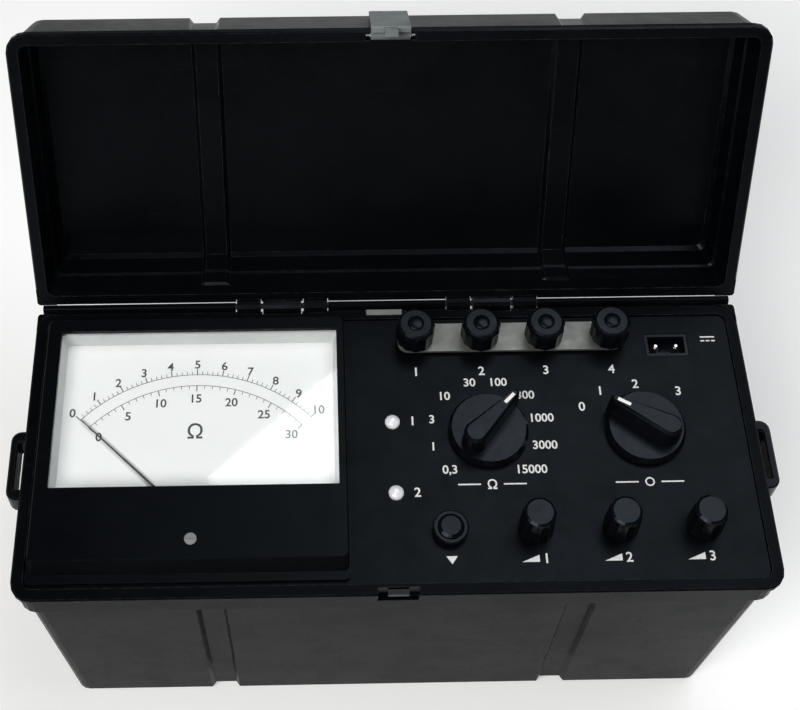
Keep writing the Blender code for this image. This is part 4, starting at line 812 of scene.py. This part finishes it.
def panel_print():
    """All the white print on the control panel."""
    z = PANEL_TOP + PRINT_LIFT
    bm = bmesh.new()
    for number, x in enumerate(TERMINAL_PLACES, 1):
        write(bm, str(number), x, TERMINAL_LABEL_Y, z, PANEL_TEXT)
    for number, text in enumerate(RANGE_LABELS):
        place = polar(RANGE_CENTRE, RANGE_LABEL_RADIUS, RANGE_FIRST - RANGE_STEP * number)
        write(bm, text, place.x, place.y, z, RANGE_TEXT)
    for text, x, y in MODE_LABELS:
        write(bm, text, x, y, z, PANEL_TEXT)
    captions(bm, z)
    for text, x, y in LAMP_LABELS:
        write(bm, text, x, y, z, PANEL_TEXT)
    low_row(bm, z)
    supply_mark(bm, z)
    flat_piece("panel_print", bm, white_ink, "case")


def knob_line(name, centre, angle, body):
    """The white line of paint along the top of a knob's grip."""
    along = Vector((math.cos(angle), math.sin(angle)))
    side = Vector((-along.y, along.x)) * LINE_HALF
    bm = bmesh.new()
    start = centre + along * LINE_START
    end = centre + along * LINE_END
    flat_face(bm, (start - side, end - side, end + side, start + side), GRIP_TOP + PRINT_LIFT)
    flat_piece(name, bm, mark_paint, body)


def circle_point(radius, degrees):
    """The point at an angle on a circle about the origin."""
    turn = math.radians(degrees)
    return radius * math.cos(turn), radius * math.sin(turn)


def wall(bm, near, far):
    """The faces between two rings of points."""
    for step in range(len(near)):
        after = (step + 1) % len(near)
        bm.faces.new((near[step], near[after], far[after], far[step]))


def revolve(bm, centre, profile):
    """A closed body turned about Z from (radius, z) pairs, with flat ends."""
    rings = []
    for radius, z in profile:
        ring = []
        for step in range(TURNED_STEPS):
            turn = 2.0 * math.pi * step / TURNED_STEPS
            x = centre[0] + radius * math.cos(turn)
            y = centre[1] + radius * math.sin(turn)
            ring.append(bm.verts.new((x, y, z)))
        rings.append(ring)
    for low, high in zip(rings, rings[1:]):
        wall(bm, low, high)
    bm.faces.new(rings[0])
    bm.faces.new(rings[-1])


def prism(bm, near, far):
    """A closed body between two equal outlines."""
    rings = [[bm.verts.new(point) for point in outline] for outline in (near, far)]
    wall(bm, *rings)
    bm.faces.new(rings[0])
    bm.faces.new(rings[1])


def carve(made, bm):
    """Cuts the mesh out of the piece."""
    mesh = bpy.data.meshes.new("cutter")
    bm.to_mesh(mesh)
    bm.free()
    cutter = bpy.data.objects.new("cutter", mesh)
    bpy.context.scene.collection.objects.link(cutter)
    press = made.modifiers.new("cut", "BOOLEAN")
    press.operation = "DIFFERENCE"
    press.solver = "EXACT"
    press.object = cutter
    bpy.context.view_layer.update()
    graph = bpy.context.evaluated_depsgraph_get()
    done = bpy.data.meshes.new_from_object(made.evaluated_get(graph))
    made.modifiers.remove(press)
    made.data = done
    made.data.name = made.name
    bpy.data.objects.remove(cutter)


def screw(name, centre, head_radius, head, seat, shank_radius, length, pitch):
    """A pan head screw, driven up from below, with its thread as ridges and a cross recess."""
    bm = bmesh.new()
    under = seat - head
    profile = [
        (head_radius * CROWN_RADIUS_SHARE, under),
        (head_radius * SHOULDER_RADIUS_SHARE, under + head * SHOULDER_HEIGHT_SHARE),
        (head_radius, under + head * WALL_HEIGHT_SHARE),
        (head_radius, seat),
        (shank_radius, seat),
    ]
    z = seat + pitch
    core = shank_radius * CORE_SHARE
    while z < seat + length - pitch:
        profile.append((core, z))
        profile.append((shank_radius, z + pitch / 2.0))
        z += pitch
    profile.append((core, seat + length))
    revolve(bm, centre, profile)
    made = piece(name, bm, finishes["bright_steel"], "case", smooth=True)
    reach = head_radius * RECESS_REACH_SHARE
    half = head_radius * RECESS_HALF_SHARE
    place = Matrix.Translation((*centre, under - head * RECESS_DROP_SHARE))
    for x, y in ((reach, half), (half, reach)):
        bar = bmesh.new()
        bmesh.ops.create_cube(bar, size=1.0)
        scale = Matrix.Diagonal((2.0 * x, 2.0 * y, head * RECESS_BAR_SHARE, 1.0))
        bmesh.ops.transform(bar, matrix=place @ scale, verts=bar.verts)
        carve(made, bar)


def rear_bead():
    """The bead on the case's rear edge, under the open lid's lip.

    It fills the edge between the hinge knuckles, and its middle run sleeves the rod.
    """
    bm = bmesh.new()
    outline = []
    for step in range(BEAD_SIDES + 1):
        y, z = circle_point(BEAD_RADIUS, BEAD_START + BEAD_SWEEP * step / BEAD_SIDES)
        outline.append((HINGE_Y + y, HINGE_Z + z))
    outline += [(BEAD_FACE, BEAD_WEB_TOP), (BEAD_FACE, HINGE_Z - BEAD_RADIUS)]
    for left, right in BEAD_RUNS:
        prism(bm, [(left, y, z) for y, z in outline], [(right, y, z) for y, z in outline])
    made = piece("rear_bead", bm, case_moulding, "case", smooth=True)
    bore = bmesh.new()
    bmesh.ops.create_cone(
        bore,
        cap_ends=True,
        segments=BEAD_SIDES,
        radius1=ROD_BORE,
        radius2=ROD_BORE,
        depth=ROD_BORE_LENGTH,
    )
    place = Matrix.Translation((0.0, HINGE_Y, HINGE_Z)) @ Matrix.Rotation(math.pi / 2.0, 4, "Y")
    bmesh.ops.transform(bore, matrix=place, verts=bore.verts)
    carve(made, bore)


def rim_corners(name, body, material, heights, place):
    """Fills the round rear corners of a rim out to nearly square ones."""
    there = range(CORNER_STEPS + 1)
    back = range(CORNER_STEPS, -1, -1)
    low, high = heights
    bm = bmesh.new()
    for side in (-1.0, 1.0):
        points = []
        for radius, steps in ((RIM_CORNER, there), (SMALL_CORNER, back)):
            for step in steps:
                turn = math.pi / 2.0 * step / CORNER_STEPS
                x = RIM_SIDE - radius + radius * math.cos(turn)
                points.append((side * x, RIM_REAR - radius + radius * math.sin(turn)))
        prism(bm, [(x, y, low) for x, y in points], [(x, y, high) for x, y in points])
    bmesh.ops.remove_doubles(bm, verts=bm.verts, dist=MERGE_DISTANCE)
    bmesh.ops.transform(bm, matrix=place, verts=bm.verts)
    piece(name, bm, material, body, smooth=True)


def opened_lid():
    """Turns what is made for the shut lid to the open one, about the hinge."""
    hinge = Vector((0.0, HINGE_Y, HINGE_Z))
    turn = Matrix.Rotation(LID_OPEN_TURN, 4, "X")
    return Matrix.Translation(hinge) @ turn @ Matrix.Translation(-hinge)


def cap_button(number, x):
    """A low domed button that closes the bore in the top of a terminal cap."""
    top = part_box(f"terminal_cap_{number}")[1].z
    bm = bmesh.new()
    profile = [(BUTTON_RADIUS, top + PRINT_LIFT)]
    for step in range(BUTTON_STEPS + 1):
        turn = math.pi / 2.0 * step / (BUTTON_STEPS + 1)
        rise = BUTTON_RISE * math.sin(turn)
        profile.append((BUTTON_RADIUS * math.cos(turn), top + BUTTON_EDGE + rise))
    revolve(bm, (x, TERMINAL_Y), profile)
    body = f"terminal_{number}_cap"
    piece(f"cap_button_{number}", bm, knob_black, body, smooth=True)


def seen_directly(tree, rays):
    """1 for rays from the eye, through glass or off a glossy face, and 0 for light on things."""
    eye = rays.outputs["Is Camera Ray"]
    through = joined(tree, "MAXIMUM", eye, rays.outputs["Is Transmission Ray"])
    return joined(tree, "MAXIMUM", through, rays.outputs["Is Glossy Ray"])


def pale_floor():
    """A pale floor. It glows only for the eye and in reflections, so it keeps the soft shadow."""
    bm = bmesh.new()
    corners = ((-1.0, -1.0), (1.0, -1.0), (1.0, 1.0), (-1.0, 1.0))
    flat_face(bm, [(FLOOR_HALF * x, FLOOR_HALF * y) for x, y in corners], -FLOOR_DROP)
    mesh = bpy.data.meshes.new("floor")
    bm.to_mesh(mesh)
    bm.free()
    floor = bpy.data.objects.new("floor", mesh)
    bpy.context.scene.collection.objects.link(floor)
    made = bpy.data.materials.new("pale_floor")
    made.use_nodes = True
    tree = made.node_tree
    shader = tree.nodes["Principled BSDF"]
    shader.inputs["Base Color"].default_value = FLOOR_COLOUR
    shader.inputs["Roughness"].default_value = FLOOR_ROUGHNESS
    shader.inputs["Specular IOR Level"].default_value = 0.0
    rays = tree.nodes.new("ShaderNodeLightPath")
    glow = tree.nodes.new("ShaderNodeEmission")
    strength = tree.nodes.new("ShaderNodeMath")
    strength.operation = "MULTIPLY"
    strength.inputs[1].default_value = FLOOR_GLOW
    tree.links.new(seen_directly(tree, rays), strength.inputs[0])
    tree.links.new(strength.outputs["Value"], glow.inputs["Strength"])
    both = tree.nodes.new("ShaderNodeAddShader")
    tree.links.new(shader.outputs["BSDF"], both.inputs[0])
    tree.links.new(glow.outputs["Emission"], both.inputs[1])
    tree.links.new(both.outputs["Shader"], tree.nodes["Material Output"].inputs["Surface"])
    mesh.materials.append(made)


def studio_world():
    """A white surround, dimmer as a light than as it is seen."""
    world = bpy.data.worlds.new("studio")
    bpy.context.scene.world = world
    world.use_nodes = True
    tree = world.node_tree
    background = tree.nodes["Background"]
    rays = tree.nodes.new("ShaderNodeLightPath")
    level = tree.nodes.new("ShaderNodeMapRange")
    level.inputs["To Min"].default_value = WORLD_LIGHT
    level.inputs["To Max"].default_value = WORLD_SEEN
    tree.links.new(seen_directly(tree, rays), level.inputs["Value"])
    tree.links.new(level.outputs["Result"], background.inputs["Strength"])


def lamp(name, place, target, size, watts, colour):
    """A rectangular lamp that faces a point."""
    light = bpy.data.lights.new(name, "AREA")
    light.shape = "RECTANGLE"
    light.size, light.size_y = size
    light.energy = watts
    light.color = colour
    made = bpy.data.objects.new(name, light)
    bpy.context.scene.collection.objects.link(made)
    made.location = place
    made.rotation_euler = (Vector(target) - Vector(place)).to_track_quat("-Z", "Y").to_euler()


def camera():
    """The photograph's camera, shifted because the photograph was cropped off its centre."""
    back = Vector(
        (
            math.sin(AZIMUTH) * math.cos(ELEVATION),
            -math.cos(AZIMUTH) * math.cos(ELEVATION),
            math.sin(ELEVATION),
        )
    )
    right = Vector((math.cos(AZIMUTH), math.sin(AZIMUTH), 0.0))
    up = back.cross(right)
    across = right * math.cos(ROLL) + up * math.sin(ROLL)
    upward = up * math.cos(ROLL) - right * math.sin(ROLL)
    data = bpy.data.cameras.new("camera")
    data.sensor_width = SENSOR
    data.lens = FOCAL_PIXELS * SENSOR / IMAGE_WIDTH
    data.shift_x = (IMAGE_WIDTH / 2.0 - CENTRE_PIXEL[0]) / IMAGE_WIDTH
    data.shift_y = (CENTRE_PIXEL[1] - IMAGE_HEIGHT / 2.0) / IMAGE_WIDTH
    data.clip_start = CLIP_START
    made = bpy.data.objects.new("camera", data)
    bpy.context.scene.collection.objects.link(made)
    matrix = Matrix((across, upward, back)).transposed().to_4x4()
    matrix.translation = AIM + back * DISTANCE
    made.matrix_world = matrix
    bpy.context.scene.camera = made


dial_print()
panel_print()
rear_bead()
rim_corners("case_rim_corners", "case", case_moulding, CASE_CORNER_HEIGHTS, Matrix.Identity(4))
rim_corners("lid_rim_corners", "lid", black_moulding, LID_CORNER_HEIGHTS, opened_lid())
for number, x in enumerate(TERMINAL_PLACES, 1):
    cap_button(number, x)
knob_line("range_knob_line", RANGE_CENTRE, RANGE_ANGLE, "range_rotor")
knob_line("mode_knob_line", MODE_CENTRE, MODE_ANGLE, "mode_rotor")
for number, place in enumerate(CASE_SCREWS, 1):
    screw(f"case_screw_{number}", place, **CASE_SCREW)
for number, place in enumerate(DOOR_SCREWS, 1):
    screw(f"door_screw_{number}", place, **DOOR_SCREW)
pale_floor()
studio_world()
for values in LAMPS:
    lamp(**values)
camera()
bpy.context.scene.view_settings.view_transform = "Standard"
